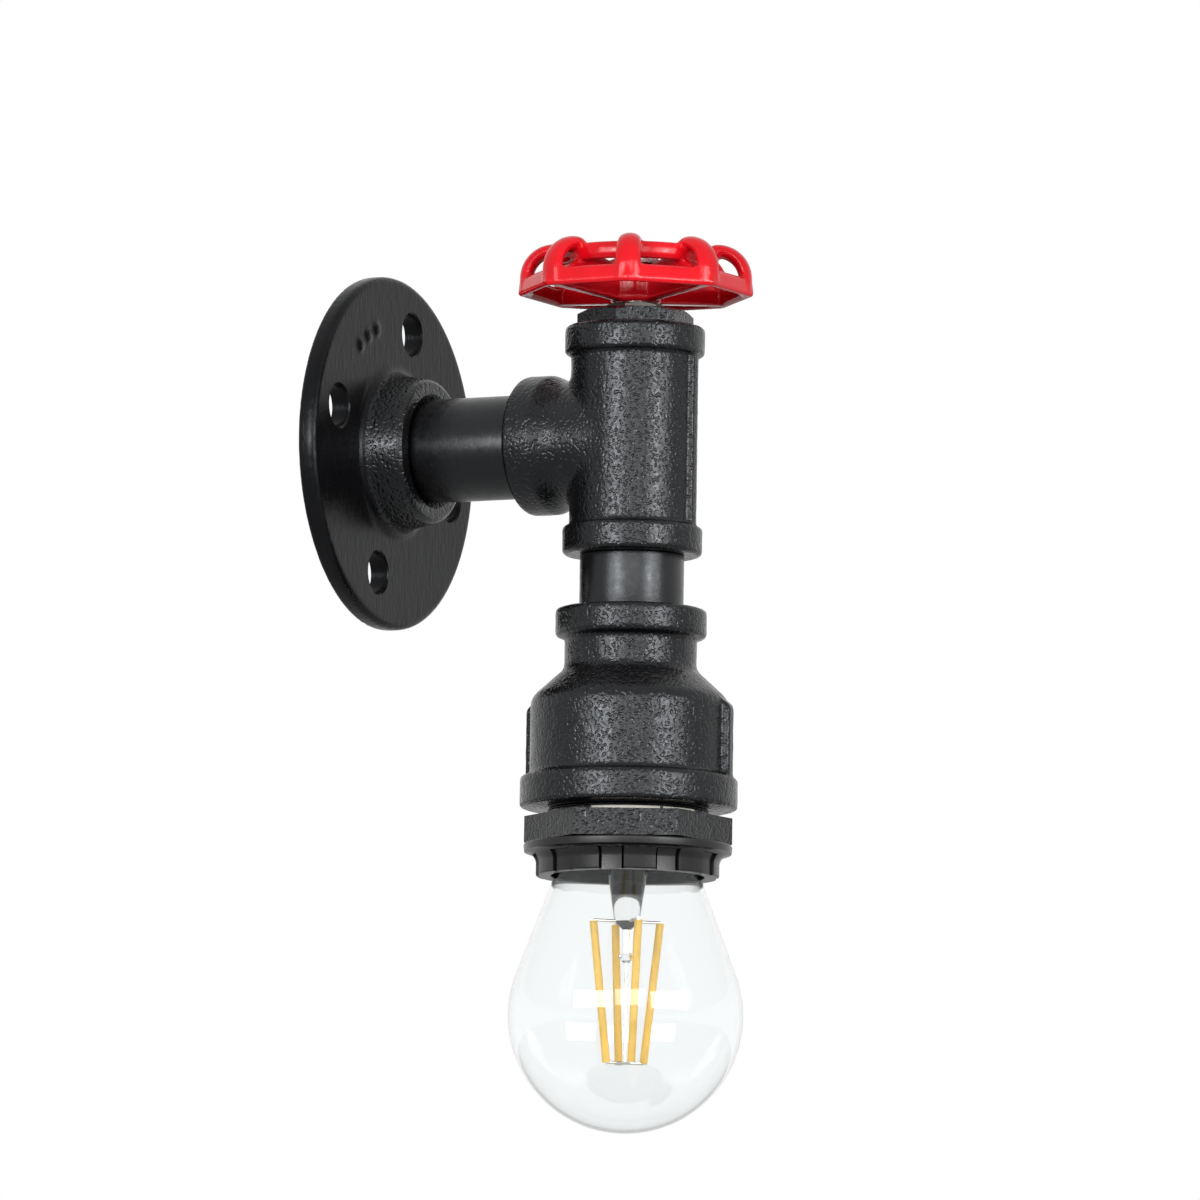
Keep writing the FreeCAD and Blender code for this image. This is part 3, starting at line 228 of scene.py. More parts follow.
def draw_outline(name: str, outline: Outline, closed: bool = True) -> Piece:
    """Draw an outline in the XZ plane by extruding one point from place to place.

    Args:
        name: The piece's name.
        outline: Its points, in millimetres.
        closed: Whether the last point joins the first.

    Returns:
        The piece, as a chain of edges.
    """
    deselect()
    bpy.ops.mesh.primitive_plane_add(size=MM)
    piece = named(name)
    places = [Vector((x, 0, z)) * MM for x, z in outline]
    if closed:
        places.append(places[0])
    with shaping(piece):
        bpy.ops.mesh.merge(type="CENTER")
        bpy.ops.transform.translate(value=places[0])
        for start, end in zip(places, places[1:]):
            bpy.ops.mesh.extrude_region_move(TRANSFORM_OT_translate={"value": end - start})
        bpy.ops.mesh.select_all(action="SELECT")
        bpy.ops.mesh.remove_doubles(threshold=HAIR)
    return piece


def thicken(piece: Piece, wide: float) -> Piece:
    """Fill a closed outline and give it a thickness, half to each side of its plane.

    Args:
        piece: The outline.
        wide: The thickness.

    Returns:
        The closed piece.
    """
    with shaping(piece, "EDGE"):
        bpy.ops.mesh.edge_face_add()
        bpy.ops.transform.translate(value=(0, -wide / 2 * MM, 0))
        bpy.ops.mesh.extrude_region_move(TRANSFORM_OT_translate={"value": (0, wide * MM, 0)})
        bpy.ops.mesh.select_all(action="SELECT")
        bpy.ops.mesh.normals_make_consistent(inside=False)
    return piece


def heal(piece: Piece) -> None:
    """Merge doubled points and turn the faces outwards.

    Args:
        piece: The piece to heal.
    """
    with shaping(piece):
        bpy.ops.mesh.remove_doubles(threshold=HAIR)
        bpy.ops.mesh.normals_make_consistent(inside=False)


def lathe(name: str, corners: Sequence[Corner], steps: int = 96, ring: int = 5) -> Piece:
    """Turn a closed outline of (radius, height) corners about Z.

    Args:
        name: The piece's name.
        corners: Corners of the outline, with a rounding as an optional third number.
        steps: Facets round the axis.
        ring: Short lines in each rounding.

    Returns:
        The turned piece.
    """
    piece = draw_outline(name, soften(corners, ring))
    with shaping(piece):
        revolve(steps)
    heal(piece)
    return piece


def rod(name: str, radius: float, low: float, high: float, steps: int = 96) -> Piece:
    """A plain round rod on the Z axis, mostly to drill with."""
    return lathe(name, [(0, low), (radius, low), (radius, high), (0, high)], steps)


def prism(
    name: str,
    flats: float,
    low: float,
    high: float,
    turn: float = 0,
    sides: int = 6,
    flats_high: float | None = None,
) -> Piece:
    """A regular prism standing on Z, given across its flats.

    Args:
        name: The piece's name.
        flats: Size across the flats.
        low: Height of its underside.
        high: Height of its top.
        turn: Direction of one corner, in degrees.
        sides: How many sides it has.
        flats_high: Size across the flats at its top, where that differs.

    Returns:
        The prism.
    """
    deselect()
    to_corner = MM / (2 * math.cos(math.pi / sides))
    bpy.ops.mesh.primitive_cone_add(
        vertices=sides,
        radius1=flats * to_corner,
        radius2=(flats_high or flats) * to_corner,
        depth=(high - low) * MM,
        location=(0, 0, (low + high) / 2 * MM),
    )
    piece = named(name)
    settle(piece)
    return spin_by(piece, turn - 90)


def sector(name: str, corners: Sequence[Corner], degrees: float) -> Piece:
    """Turn an outline about Z by a part of a turn only, half to each side of the X axis.

    Args:
        name: The piece's name.
        corners: Corners of the closed outline, as for a lathe.
        degrees: How far it is turned.

    Returns:
        The closed piece.
    """
    piece = draw_outline(name, soften(corners, 4))
    spin_by(piece, degrees / 2)
    with shaping(piece, "EDGE"):
        bpy.ops.mesh.edge_face_add()
        revolve(8, math.radians(degrees))
    heal(piece)
    return piece


def block(name: str, low: Sequence[float], high: Sequence[float]) -> Piece:
    """A plain box.

    Args:
        name: The piece's name.
        low: Its lowest corner.
        high: Its highest corner.

    Returns:
        The box.
    """
    deselect()
    bpy.ops.mesh.primitive_cube_add(size=1)
    piece = named(name)
    piece.scale = Vector([b - a for a, b in zip(low, high)]) * MM
    piece.location = (Vector(low) + Vector(high)) / 2 * MM
    settle(piece)
    return piece


def settle(piece: Piece) -> None:
    """Write a piece's place into its mesh, so that its object sits at the origin."""
    pick(piece)
    bpy.ops.object.transform_apply(location=True, rotation=True, scale=True)


def set_down(piece: Piece, place: Matrix) -> Piece:
    """Move a piece by a matrix and settle it there.

    Args:
        piece: The piece.
        place: The move.

    Returns:
        The same piece.
    """
    piece.matrix_world = place @ piece.matrix_world
    settle(piece)
    return piece


def spin_by(piece: Piece, degrees: float) -> Piece:
    """Turn a piece about the Z axis."""
    return set_down(piece, Matrix.Rotation(math.radians(degrees), 4, "Z"))


def at(x: float, y: float, z: float, axis: Axis = Axis.UP) -> Matrix:
    """The placement that puts a piece's origin at a point, with its axis a given way."""
    return Matrix.Translation(Vector((x, y, z)) * MM) @ axis.turn()


def twin(piece: Piece, name: str) -> Piece:
    """Copy a piece together with its mesh.

    Args:
        piece: The piece.
        name: The copy's name.

    Returns:
        The copy.
    """
    copy = piece.copy()
    copy.data = piece.data.copy()
    copy.name = name
    bpy.context.scene.collection.objects.link(copy)
    return copy


def ring_of(piece: Piece, count: int) -> list[Piece]:
    """Repeat a piece evenly round the Z axis.

    Args:
        piece: The piece.
        count: How many there are in the end.

    Returns:
        The piece and its copies.
    """
    around = [piece]
    for k in range(1, count):
        around.append(spin_by(twin(piece, f"{piece.name}_{k}"), 360 * k / count))
    return around


def join(name: str, *pieces: Piece) -> Piece:
    """Join pieces into one object, which keeps the first one's place.

    Args:
        name: The object's name.
        pieces: What to join.

    Returns:
        The object.
    """
    whole = pick(*pieces)
    bpy.ops.object.join()
    whole.name = name
    whole.data.name = name
    return whole


def finish_with(piece: Piece, kind: str, **settings: object) -> None:
    """Add a modifier and apply it.

    Args:
        piece: The piece.
        kind: The modifier's type.
        settings: Its settings.
    """
    pick(piece)
    modifier = piece.modifiers.new(kind.lower(), kind)
    for key, value in settings.items():
        setattr(modifier, key, value)
    bpy.ops.object.modifier_apply(modifier=modifier.name)


def carve(piece: Piece, *tools: Piece, mode: str = "DIFFERENCE") -> None:
    """Cut tools out of a piece, or weld them to it, and remove the tools.

    Args:
        piece: The piece.
        tools: The tools.
        mode: DIFFERENCE, UNION or INTERSECT.
    """
    for tool in tools:
        finish_with(piece, "BOOLEAN", object=tool, operation=mode, solver="EXACT")
        bpy.data.objects.remove(tool)


def bevel(piece: Piece, width: float, degrees: float = 30, steps: int = 2) -> None:
    """Soften the edges of a piece that are sharper than an angle."""
    angle = math.radians(degrees)
    finish_with(piece, "BEVEL", width=width * MM, segments=steps, angle_limit=angle)


def cast(
    name: str, parts: Sequence[Piece], grain: float, rounds: int, lumps: float = 0.0
) -> Piece:
    """Weld overlapping forms into one skin with the soft inner corners of a casting.

    Args:
        name: The casting's name.
        parts: Closed forms that overlap.
        grain: Size of the skin's facets, in millimetres.
        rounds: How often the skin is smoothed.
        lumps: How uneven the sand mould leaves the skin, in millimetres.

    Returns:
        The casting.
    """
    whole = join(name, *parts)
    finish_with(whole, "REMESH", mode="VOXEL", voxel_size=grain * MM, adaptivity=0.0)
    finish_with(whole, "SMOOTH", factor=0.5, iterations=rounds)
    if lumps:
        sand = bpy.data.textures.new(name + "_sand", "CLOUDS")
        sand.noise_scale = 2.6 * MM
        sand.noise_depth = 1
        finish_with(whole, "DISPLACE", texture=sand, strength=lumps * MM, mid_level=0.5)
    return whole


def smooth(piece: Piece, degrees: float = 35, flats: bool = False) -> None:
    """Shade a piece smooth up to an angle.

    Args:
        piece: The piece.
        degrees: The sharpest corner that is still shaded round.
        flats: Whether its large faces stay flat between softened corners.
    """
    pick(piece)
    bpy.ops.object.shade_smooth_by_angle(angle=math.radians(degrees))
    if flats:
        finish_with(piece, "WEIGHTED_NORMAL", mode="FACE_AREA", weight=80, keep_sharp=True)


# Finishes


class Weave:
    """A short way to lay out a material's nodes."""

    def __init__(self, name: str) -> None:
        """Start a material with a Principled shader and Object coordinates.

        Args:
            name: The material's name.
        """
        self.material = bpy.data.materials.new(name)
        self.material.use_nodes = True
        self.tree = self.material.node_tree
        self.shader = self.tree.nodes["Principled BSDF"]
        self.place = self.tree.nodes.new("ShaderNodeTexCoord").outputs["Object"]

    def node(
        self, kind: str, inputs: dict[str, object] | None = None, **settings: object
    ) -> bpy.types.Node:
        """Add a node.

        Args:
            kind: The node's type, without its prefix.
            inputs: Socket values, or other nodes' sockets to link.
            settings: The node's own settings.

        Returns:
            The node.
        """
        node = self.tree.nodes.new("ShaderNode" + kind)
        for key, value in settings.items():
            setattr(node, key, value)
        for key, value in (inputs or {}).items():
            self.feed(node, key, value)
        return node

    def feed(self, node: bpy.types.Node, socket: str, value: object) -> None:
        """Link a socket or set its value.

        Args:
            node: The node.
            socket: The name of one of its inputs.
            value: A number, a colour or another node's output.
        """
        if isinstance(value, Socket):
            self.tree.links.new(value, node.inputs[socket])
        else:
            node.inputs[socket].default_value = value

    def stretched(self, scale: Colour) -> Socket:
        """The object's coordinates, scaled along its three axes."""
        return self.node("Mapping", {"Vector": self.place, "Scale": scale}).outputs["Vector"]

    def noise(
        self, scale: float, detail: float = 2, rough: float = 0.5, place: Socket | None = None
    ) -> Socket:
        """A noise pattern on the object.

        Args:
            scale: How fine it is.
            detail: How many finer layers it has.
            rough: How strong these are.
            place: Coordinates other than the object's own.

        Returns:
            A grey value.
        """
        inputs = {"Vector": place or self.place, "Scale": scale}
        inputs |= {"Detail": detail, "Roughness": rough}
        return self.node("TexNoise", inputs).outputs["Fac"]

    def ramp(self, value: Socket, deep: Colour, pale: Colour) -> Socket:
        """Colour the middle range of a grey value.

        Args:
            value: The grey value.
            deep: The colour below that range.
            pale: The colour above it.

        Returns:
            The colour.
        """
        node = self.node("ValToRGB", {"Fac": value})
        for element, where, colour in zip(node.color_ramp.elements, (0.3, 0.7), (deep, pale)):
            element.position = where
            element.color = (*colour, 1)
        return node.outputs["Color"]

    def spread(
        self, value: Socket, low: float, high: float, start: float = 0.3, end: float = 0.7
    ) -> Socket:
        """Map a range of a grey value to a range of numbers.

        Args:
            value: The grey value.
            low: The number at the range's start.
            high: The number at its end.
            start: Where the range starts.
            end: Where it ends.

        Returns:
            The number.
        """
        inputs = {"Value": value, "From Min": start, "From Max": end}
        inputs |= {"To Min": low, "To Max": high}
        return self.node("MapRange", inputs).outputs["Result"]

    def bump(self, *layers: tuple[Socket, float]) -> None:
        """Raise the surface by layers, one on the other.

        Args:
            layers: Pairs of a height and its depth in millimetres.
        """
        normal = None
        for height, depth in layers:
            node = self.node("Bump", {"Height": height, "Distance": depth * MM, "Strength": 1.0})
            if normal is not None:
                self.feed(node, "Normal", normal)
            normal = node.outputs["Normal"]
        self.feed(self.shader, "Normal", normal)

    def set(self, **values: object) -> None:
        """Set the shader's sockets; an underscore stands for a space."""
        for key, value in values.items():
            self.feed(self.shader, key.replace("_", " "), value)


@dataclass(frozen=True)
class Enamel:
    """Thick paint over a casting or a pipe."""

    name: str
    colour: Colour = SOOT
    deep: Colour = PITCH
    gloss: tuple[float, float] = (0.2, 0.32)
    pebble: float = 0.08
    grain: float = 1050
    pits: float = 0.0
    grit: float = 0.02
    shine: float = 0.3
    tint: Colour = (0.92, 0.96, 1.0)
    draw: Colour = (1, 1, 1)

    def make(self) -> bpy.types.Material:
        """Lay the paint out as a material.

        Returns:
            The material.
        """
        m = Weave(self.name)
        pebbles = m.noise(self.grain, 2, 0.55, m.stretched(self.draw))
        layers = [(pebbles, self.pebble), (m.noise(2600, 2, 0.6), self.grit)]
        if self.pits:
            pits = m.spread(m.noise(self.grain * 1.1, 0), 0, 1, 0.2, 0.5)
            layers.append((pits, self.pits))
        m.set(Base_Color=m.ramp(m.noise(90, 3, 0.55), self.deep, self.colour))
        m.set(Roughness=m.spread(pebbles, *self.gloss))
        m.set(Specular_IOR_Level=self.shine, Specular_Tint=(*self.tint, 1))
        m.bump(*layers)
        return m.material


@dataclass(frozen=True)
class Metal:
    """Bare or plated metal with fine tool marks."""

    name: str
    colour: Colour
    gloss: tuple[float, float] = (0.18, 0.34)
    marks: float = 0.004

    def make(self) -> bpy.types.Material:
        """Lay the metal out as a material.

        Returns:
            The material.
        """
        m = Weave(self.name)
        lines = m.noise(420, 3, 0.5, m.stretched((1, 1, 14)))
        broad = m.noise(240, 3)
        pale = tuple(min(1, c * 1.06) for c in self.colour)
        dull = tuple(c * 0.86 for c in self.colour)
        m.set(Base_Color=m.ramp(broad, dull, pale), Metallic=1.0)
        m.set(Roughness=m.spread(broad, *self.gloss))
        m.bump((lines, self.marks))
        return m.material


@dataclass(frozen=True)
class Moulding:
    """Moulded plastic, phenolic, ceramic or wire covering."""

    name: str
    colour: Colour
    gloss: tuple[float, float] = (0.25, 0.4)
    grain: float = 0.01
    shine: float = 0.5

    def make(self) -> bpy.types.Material:
        """Lay the moulding out as a material.

        Returns:
            The material.
        """
        m = Weave(self.name)
        fine = m.noise(1800)
        dull = tuple(c * 0.85 for c in self.colour)
        m.set(Base_Color=m.ramp(m.noise(150), dull, self.colour))
        m.set(Roughness=m.spread(fine, *self.gloss), Specular_IOR_Level=self.shine)
        m.bump((fine, self.grain))
        return m.material


@dataclass(frozen=True)
class ClearGlass:
    """Blown glass with a faint unevenness."""

    name: str
    colour: Colour
    roughness: float = 0.02

    def make(self) -> bpy.types.Material:
        """Lay the glass out as a material.

        Returns:
            The material.
        """
        m = Weave(self.name)
        m.set(Base_Color=(*self.colour, 1), Transmission_Weight=1.0, IOR=1.48)
        m.set(Roughness=m.spread(m.noise(60), self.roughness, self.roughness * 2))
        m.bump((m.noise(45), 0.02))
        return m.material


class Finish(Enum):
    """The finishes of this light."""

    CASTING = Enamel("casting_enamel", pits=0.11)
    FLANGE = Enamel(
        "flange_enamel", pebble=0.09, grain=900, grit=0.03, shine=0.12, draw=(1, 1, 0.3)
    )
    PIPE = Enamel(
        "pipe_enamel",
        colour=(0.004, 0.004, 0.0045),
        gloss=(0.24, 0.34),
        pebble=0.04,
        grain=500,
        grit=0.008,
        shine=0.34,
    )
    RED = Enamel(
        "wheel_enamel",
        colour=(0.74, 0.005, 0.014),
        deep=(0.62, 0.003, 0.009),
        gloss=(0.12, 0.2),
        grain=220,
        grit=0.004,
        shine=0.22,
        tint=(1, 1, 1),
    )
    ZINC = Metal("bright_zinc", (0.72, 0.72, 0.7))
    STEEL = Metal("dark_steel", (0.085, 0.08, 0.075), (0.28, 0.4))
    BRASS = Metal("plain_brass", (0.78, 0.56, 0.24))
    NICKEL = Metal("nickel_plate", (0.8, 0.77, 0.7))
    COPPER = Metal("bare_copper", (0.85, 0.42, 0.25))
    SEALANT = Moulding("thread_paste", (0.62, 0.6, 0.52), (0.45, 0.6), 0.04)
    PHENOLIC = Moulding("black_phenolic", (0.006, 0.006, 0.006), (0.27, 0.36), 0.008, 0.34)
    # Near-black matte for the floors of the shade ring's scored lines: painted shade in the slots.
    SCORE_SHADE = Moulding("painted_score_shade", (0.003, 0.003, 0.003), (0.6, 0.7), 0.0, 0.0)
    SWITCH = Moulding("switch_moulding", (0.03, 0.03, 0.032))
    PALE = Moulding("pale_moulding", (0.7, 0.66, 0.58))
    CERAMIC = Moulding("white_ceramic", (0.86, 0.85, 0.81), (0.06, 0.12), 0.005)
    VITRITE = Moulding("black_vitrite", (0.012, 0.012, 0.02), (0.08, 0.15), 0.01)
    PHOSPHOR = Moulding("filament_coat", (0.9, 0.55, 0.08), (0.5, 0.6), 0.02)
    BROWN = Moulding("brown_wire", (0.16, 0.055, 0.02))
    BLUE = Moulding("blue_wire", (0.02, 0.12, 0.5))
    GREEN = Moulding("green_wire", (0.12, 0.4, 0.04))
    GLASS = ClearGlass("blown_glass", (0.97, 0.985, 0.985))


@dataclass
class Shop:
    """Keeps what the scene's pieces have in common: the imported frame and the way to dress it."""

    frame: dict
    count: int = 0
    made: dict[Finish, bpy.types.Material] = field(default_factory=dict)

    def dress(self, piece: Piece, finish: Finish, keep: bool = False) -> None:
        """Give a piece a finish, which is laid out at its first use.

        Args:
            piece: The piece.
            finish: The finish.
            keep: Whether the piece keeps the finishes that it has.
        """
        if finish not in self.made:
            self.made[finish] = finish.value.make()
        if not keep:
            piece.data.materials.clear()
        piece.data.materials.append(self.made[finish])

    def dress_part(self, piece: Piece, finish: Finish, test: Callable[[Vector], bool]) -> None:
        """Give some faces of a piece a second finish.

        Args:
            piece: The piece.
            finish: The second finish.
            test: Says of a face's middle whether the face is wanted.
        """
        self.dress(piece, finish, keep=True)
        for face in piece.data.polygons:
            if test(face.center):
                face.material_index = len(piece.data.materials) - 1

    def dress_node(self, node: str, finish: Finish) -> None:
        """Give a CAD node that stays its finish."""
        self.dress(self.frame["nodes"][node], finish)
        log.info("%s: kept from the frame", node)

    def deliver(
        self, piece: Piece, body: str, slot: str, finish: Finish, *stands_for: str
    ) -> None:
        """Dress a finished piece and hang it on the frame.

        Args:
            piece: The piece, in place.
            body: The CAD body that it moves with.
            slot: The record's material slot; not used.
            finish: Its finish.
            stands_for: CAD nodes that it replaces.
        """
        self.dress(piece, finish)
        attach(piece, body)
        if stands_for:
            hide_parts(*stands_for)
        self.count += 1
        log.info("%s: %d faces, on %s", piece.name, len(piece.data.polygons), body)


# Pieces


@dataclass
class WallFlange:
    """Cast floor flange against the wall."""

    radius: float = 45.6
    plate: float = 5.0
    height: float = FLANGE_HIGH
    hub_foot: float = 20.5
    hub_front: float = 18.4
    bore: float = PIPE_THREAD
    recess: float = 14.8
    bolt_circle: float = 33.0
    bolt_hole: float = 5.5
    bolt_sink: float = 0.7
    bolt_turn: float = 75.0
    pip: float = 1.5
    pip_high: float = 0.7
    pip_step: float = 9.0

    def pips(self) -> list[Piece]:
        """Turn three plain raised pips between two of the holes.

        Returns:
            The pips.
        """
        around = []
        foot, top = self.plate - 1, self.plate + self.pip_high
        for k in (-1, 0, 1):
            corners = [(0, foot), (self.pip, foot), (self.pip, top, 0.6), (0, top)]
            pip = lathe(f"flange_pip_{k + 1}", corners, 24)
            set_down(pip, at(self.bolt_circle, 0, 0))
            around.append(spin_by(pip, self.bolt_turn + 45 + self.pip_step * k))
        return around

    def drills(self) -> list[Piece]:
        """Turn the drills of the four bolt holes, which sink them at the front.

        Returns:
            The drills.
        """
        sunk = self.bolt_hole + self.bolt_sink
        corners = [
            (0, -1),
            (self.bolt_hole, -1),
            (self.bolt_hole, self.plate - 0.4),
            (sunk, self.plate + 0.3),
            (sunk, self.plate + 1),
            (0, self.plate + 1),
        ]
        drill = set_down(lathe("flange_bolt_hole", corners, 40), at(self.bolt_circle, 0, 0))
        return [spin_by(tool, self.bolt_turn) for tool in ring_of(drill, 4)]

    def build(self, shop: Shop) -> None:
        """Turn the flange, weld on its plain pips and drill it.

        Args:
            shop: Takes the finished piece.
        """
        body = lathe(
            "wall_flange_cast",
            [
                (0, 0),
                (self.radius, 0, 0.8),
                (self.radius, self.plate, 1.6),
                (self.hub_foot, self.plate, 3.0),
                (self.hub_front, self.height, 1.4),
                (0, self.height),
            ],
        )
        casting = cast("wall_flange_cast", [body, *self.pips()], 0.55, 4)
        bore = lathe(
            "flange_bore",
            [
                (0, -1),
                (self.bore + 0.8, -1),
                (self.bore + 0.8, 0),
                (self.bore, 0.8),
                (self.bore, self.height - 1.6),
                (self.recess, self.height),
                (self.recess + 1, self.height + 1),
                (0, self.height + 1),
            ],
        )
        carve(casting, bore, *self.drills())
        set_down(casting, at(0, 0, 0, Axis.FROM_WALL))
        smooth(casting)
        shop.deliver(casting, "fixture", "black_iron", Finish.FLANGE, "wall_flange")
        hub = (self.plate + 1.6) * MM
        shop.dress_part(casting, Finish.CASTING, lambda middle: middle.y < -hub)


@dataclass
class Nipple:
    """A length of pipe, threaded at both ends."""

    name: str
    long: float
    plain: tuple[float, float]
    outer: float = 13.335
    thread: float = PIPE_THREAD
    bore: float = 10.465
    edge: float = 0.8

    def build(self, shop: Shop, place: Matrix) -> None:
        """Turn the pipe and put it in place.

        Args:
            shop: Takes the finished piece.
            place: Where the pipe starts, and the way it goes.
        """
        low, high = self.plain
        pipe = lathe(
            self.name + "_pipe",
            [
                (self.bore, 0),
                (self.thread - self.edge, 0),
                (self.thread, self.edge),
                (self.thread, low),
                (self.outer, low, 0.3),
                (self.outer, high, 0.3),
                (self.thread, high),
                (self.thread, self.long - self.edge),
                (self.thread - self.edge, self.long),
                (self.bore, self.long),
            ],
            128,
        )
        set_down(pipe, place)
        smooth(pipe)
        shop.deliver(pipe, "fixture", "black_pipe", Finish.PIPE, self.name)


@dataclass
class Tee:
    """Cast tee with beaded ends and a mould rib away from the wall."""

    half: float = TEE_HALF
    collar: float = 17.9
    collar_long: float = 7.3
    run: float = 16.3
    branch: float = 15.9
    flare_from: float = 17.4
    cavity: float = 13.4
    thread: float = PIPE_THREAD
    thread_long: float = 13.0
    rib_wide: float = 3.2
    rib_proud: float = 1.2
    rib_high: float = 44.0
    throat: float = 3.5

    def body(self) -> Piece:
        """Weld run, branch and rib into one casting.

        Returns:
            The casting, still solid.
        """
        shoulder = self.half - self.collar_long
        run = lathe(
            "tee_run",
            [
                (0, -self.half),
                (self.collar, -self.half, 1.2),
                (self.collar, -shoulder, 1.3),
                (self.run, -shoulder, 0.8),
                (self.run, shoulder, 0.8),
                (self.collar, shoulder, 1.3),
                (self.collar, self.half, 1.2),
                (0, self.half),
            ],
        )
        branch = lathe(
            "tee_branch",
            [
                (0, 0),
                (self.branch, 0),
                (self.branch, self.flare_from, 3.0),
                (self.collar, shoulder, 2.0),
                (self.collar, self.half, 1.2),
                (0, self.half),
            ],
        )
        set_down(branch, Axis.TO_WALL.turn())
        wide, high = self.rib_wide / 2, self.rib_high / 2
        front = -self.run - self.rib_proud
        rib = block("tee_rib", (-wide, front, -high), (wide, -self.cavity - 1, high))
        return cast("tee_cast", [run, branch, rib], 0.42, 5, 0.12)

    def bores(self) -> tuple[Piece, Piece]:
        """Turn the tools that bore the run and the branch.

        Returns:
            Both tools.
        """
        end = self.half - self.thread_long
        mouth = [
            (self.cavity, end),
            (self.thread, end),
            (self.thread, self.half + 1),
            (0, self.half + 1),
        ]
        foot = [
            (0, -self.half - 1),
            (self.thread, -self.half - 1),
            (self.thread, -end),
            (self.cavity, -end),
        ]
        run = lathe("tee_run_bore", foot + mouth)
        side = lathe("tee_side_bore", [(0, 0), (self.cavity, 0), *mouth])
        return run, set_down(side, Axis.TO_WALL.turn())

    def soften_throat(self, casting: Piece) -> None:
        """Blend the branch into the run with the wide fillet of the casting.

        Args:
            casting: The casting, still solid.
        """
        reach = self.run + self.throat

        def in_throat(face: bmesh.types.BMFace) -> bool:
            """Whether a face lies about the root of the branch."""
            middle = face.calc_center_median() / MM
            return 2.0 < middle.y < reach and abs(middle.z) < reach

        with shaping(casting, "FACE", whole=False):
            choose_faces(casting, in_throat)
            bpy.ops.mesh.vertices_smooth(factor=0.5, repeat=70)

    def build(self, shop: Shop) -> None:
        """Cast the tee, soften its throat and bore it out.

        Args:
            shop: Takes the finished piece.
        """
        casting = self.body()
        self.soften_throat(casting)
        carve(casting, *self.bores())
        set_down(casting, at(0, STACK_Y, 0))
        smooth(casting)
        shop.deliver(casting, "fixture", "black_iron", Finish.CASTING, "tee")


def hex_head(
    name: str, flats: float, low: float, high: float, turn: float, both: bool = True
) -> Piece:
    """A hexagon with its corners turned down.

    Args:
        name: The piece's name.
        flats: Size across the flats.
        low: Height of its underside.
        high: Height of its top.
        turn: Direction of one corner, in degrees.
        both: Whether the underside is turned down as well as the top.

    Returns:
        The head.
    """
    head = prism(name, flats, low - 0.5, high + 0.5, turn)
    far = flats / math.sqrt(3) + 0.2
    drop = (far - flats / 2) * 0.5
    foot = [(0, low), (flats / 2, low), (far, low + drop)] if both else [(0, low), (far, low)]
    top = [(far, high - drop), (flats / 2, high), (0, high)]
    carve(head, lathe(name + "_envelope", foot + top), mode="INTERSECT")
    return head


@dataclass
class TopBushing:
    """Hexagon bushing that closes the tee under the handwheel."""

    flats: float = 26.2
    low: float = TEE_HALF
    high: float = PLUG_TOP
    thread: float = PIPE_THREAD
    thread_low: float = PLUG_FOOT
    bore: float = 5.1
    turn: float = 6.5
    edge: float = 0.8

    def build(self, shop: Shop) -> None:
        """Cut the hexagon, weld on its thread and bore it.

        Args:
            shop: Takes the finished piece.
        """
        head = hex_head("bushing_head", self.flats, self.low, self.high, self.turn, both=False)
        stem = lathe(
            "bushing_stem",
            [
                (0, self.thread_low),
                (self.thread - self.edge, self.thread_low),
                (self.thread, self.thread_low + self.edge),
                (self.thread, self.low + 0.5),
                (0, self.low + 0.5),
            ],
        )
        carve(head, stem, mode="UNION")
        carve(head, rod("bushing_hole", self.bore, 0, 50, 64))
        bevel(head, 0.35)
        set_down(head, at(0, STACK_Y, 0))
        smooth(head, 40, flats=True)
        head.name = "top_bushing_cut"
        shop.deliver(head, "fixture", "black_iron", Finish.CASTING, "top_bushing")


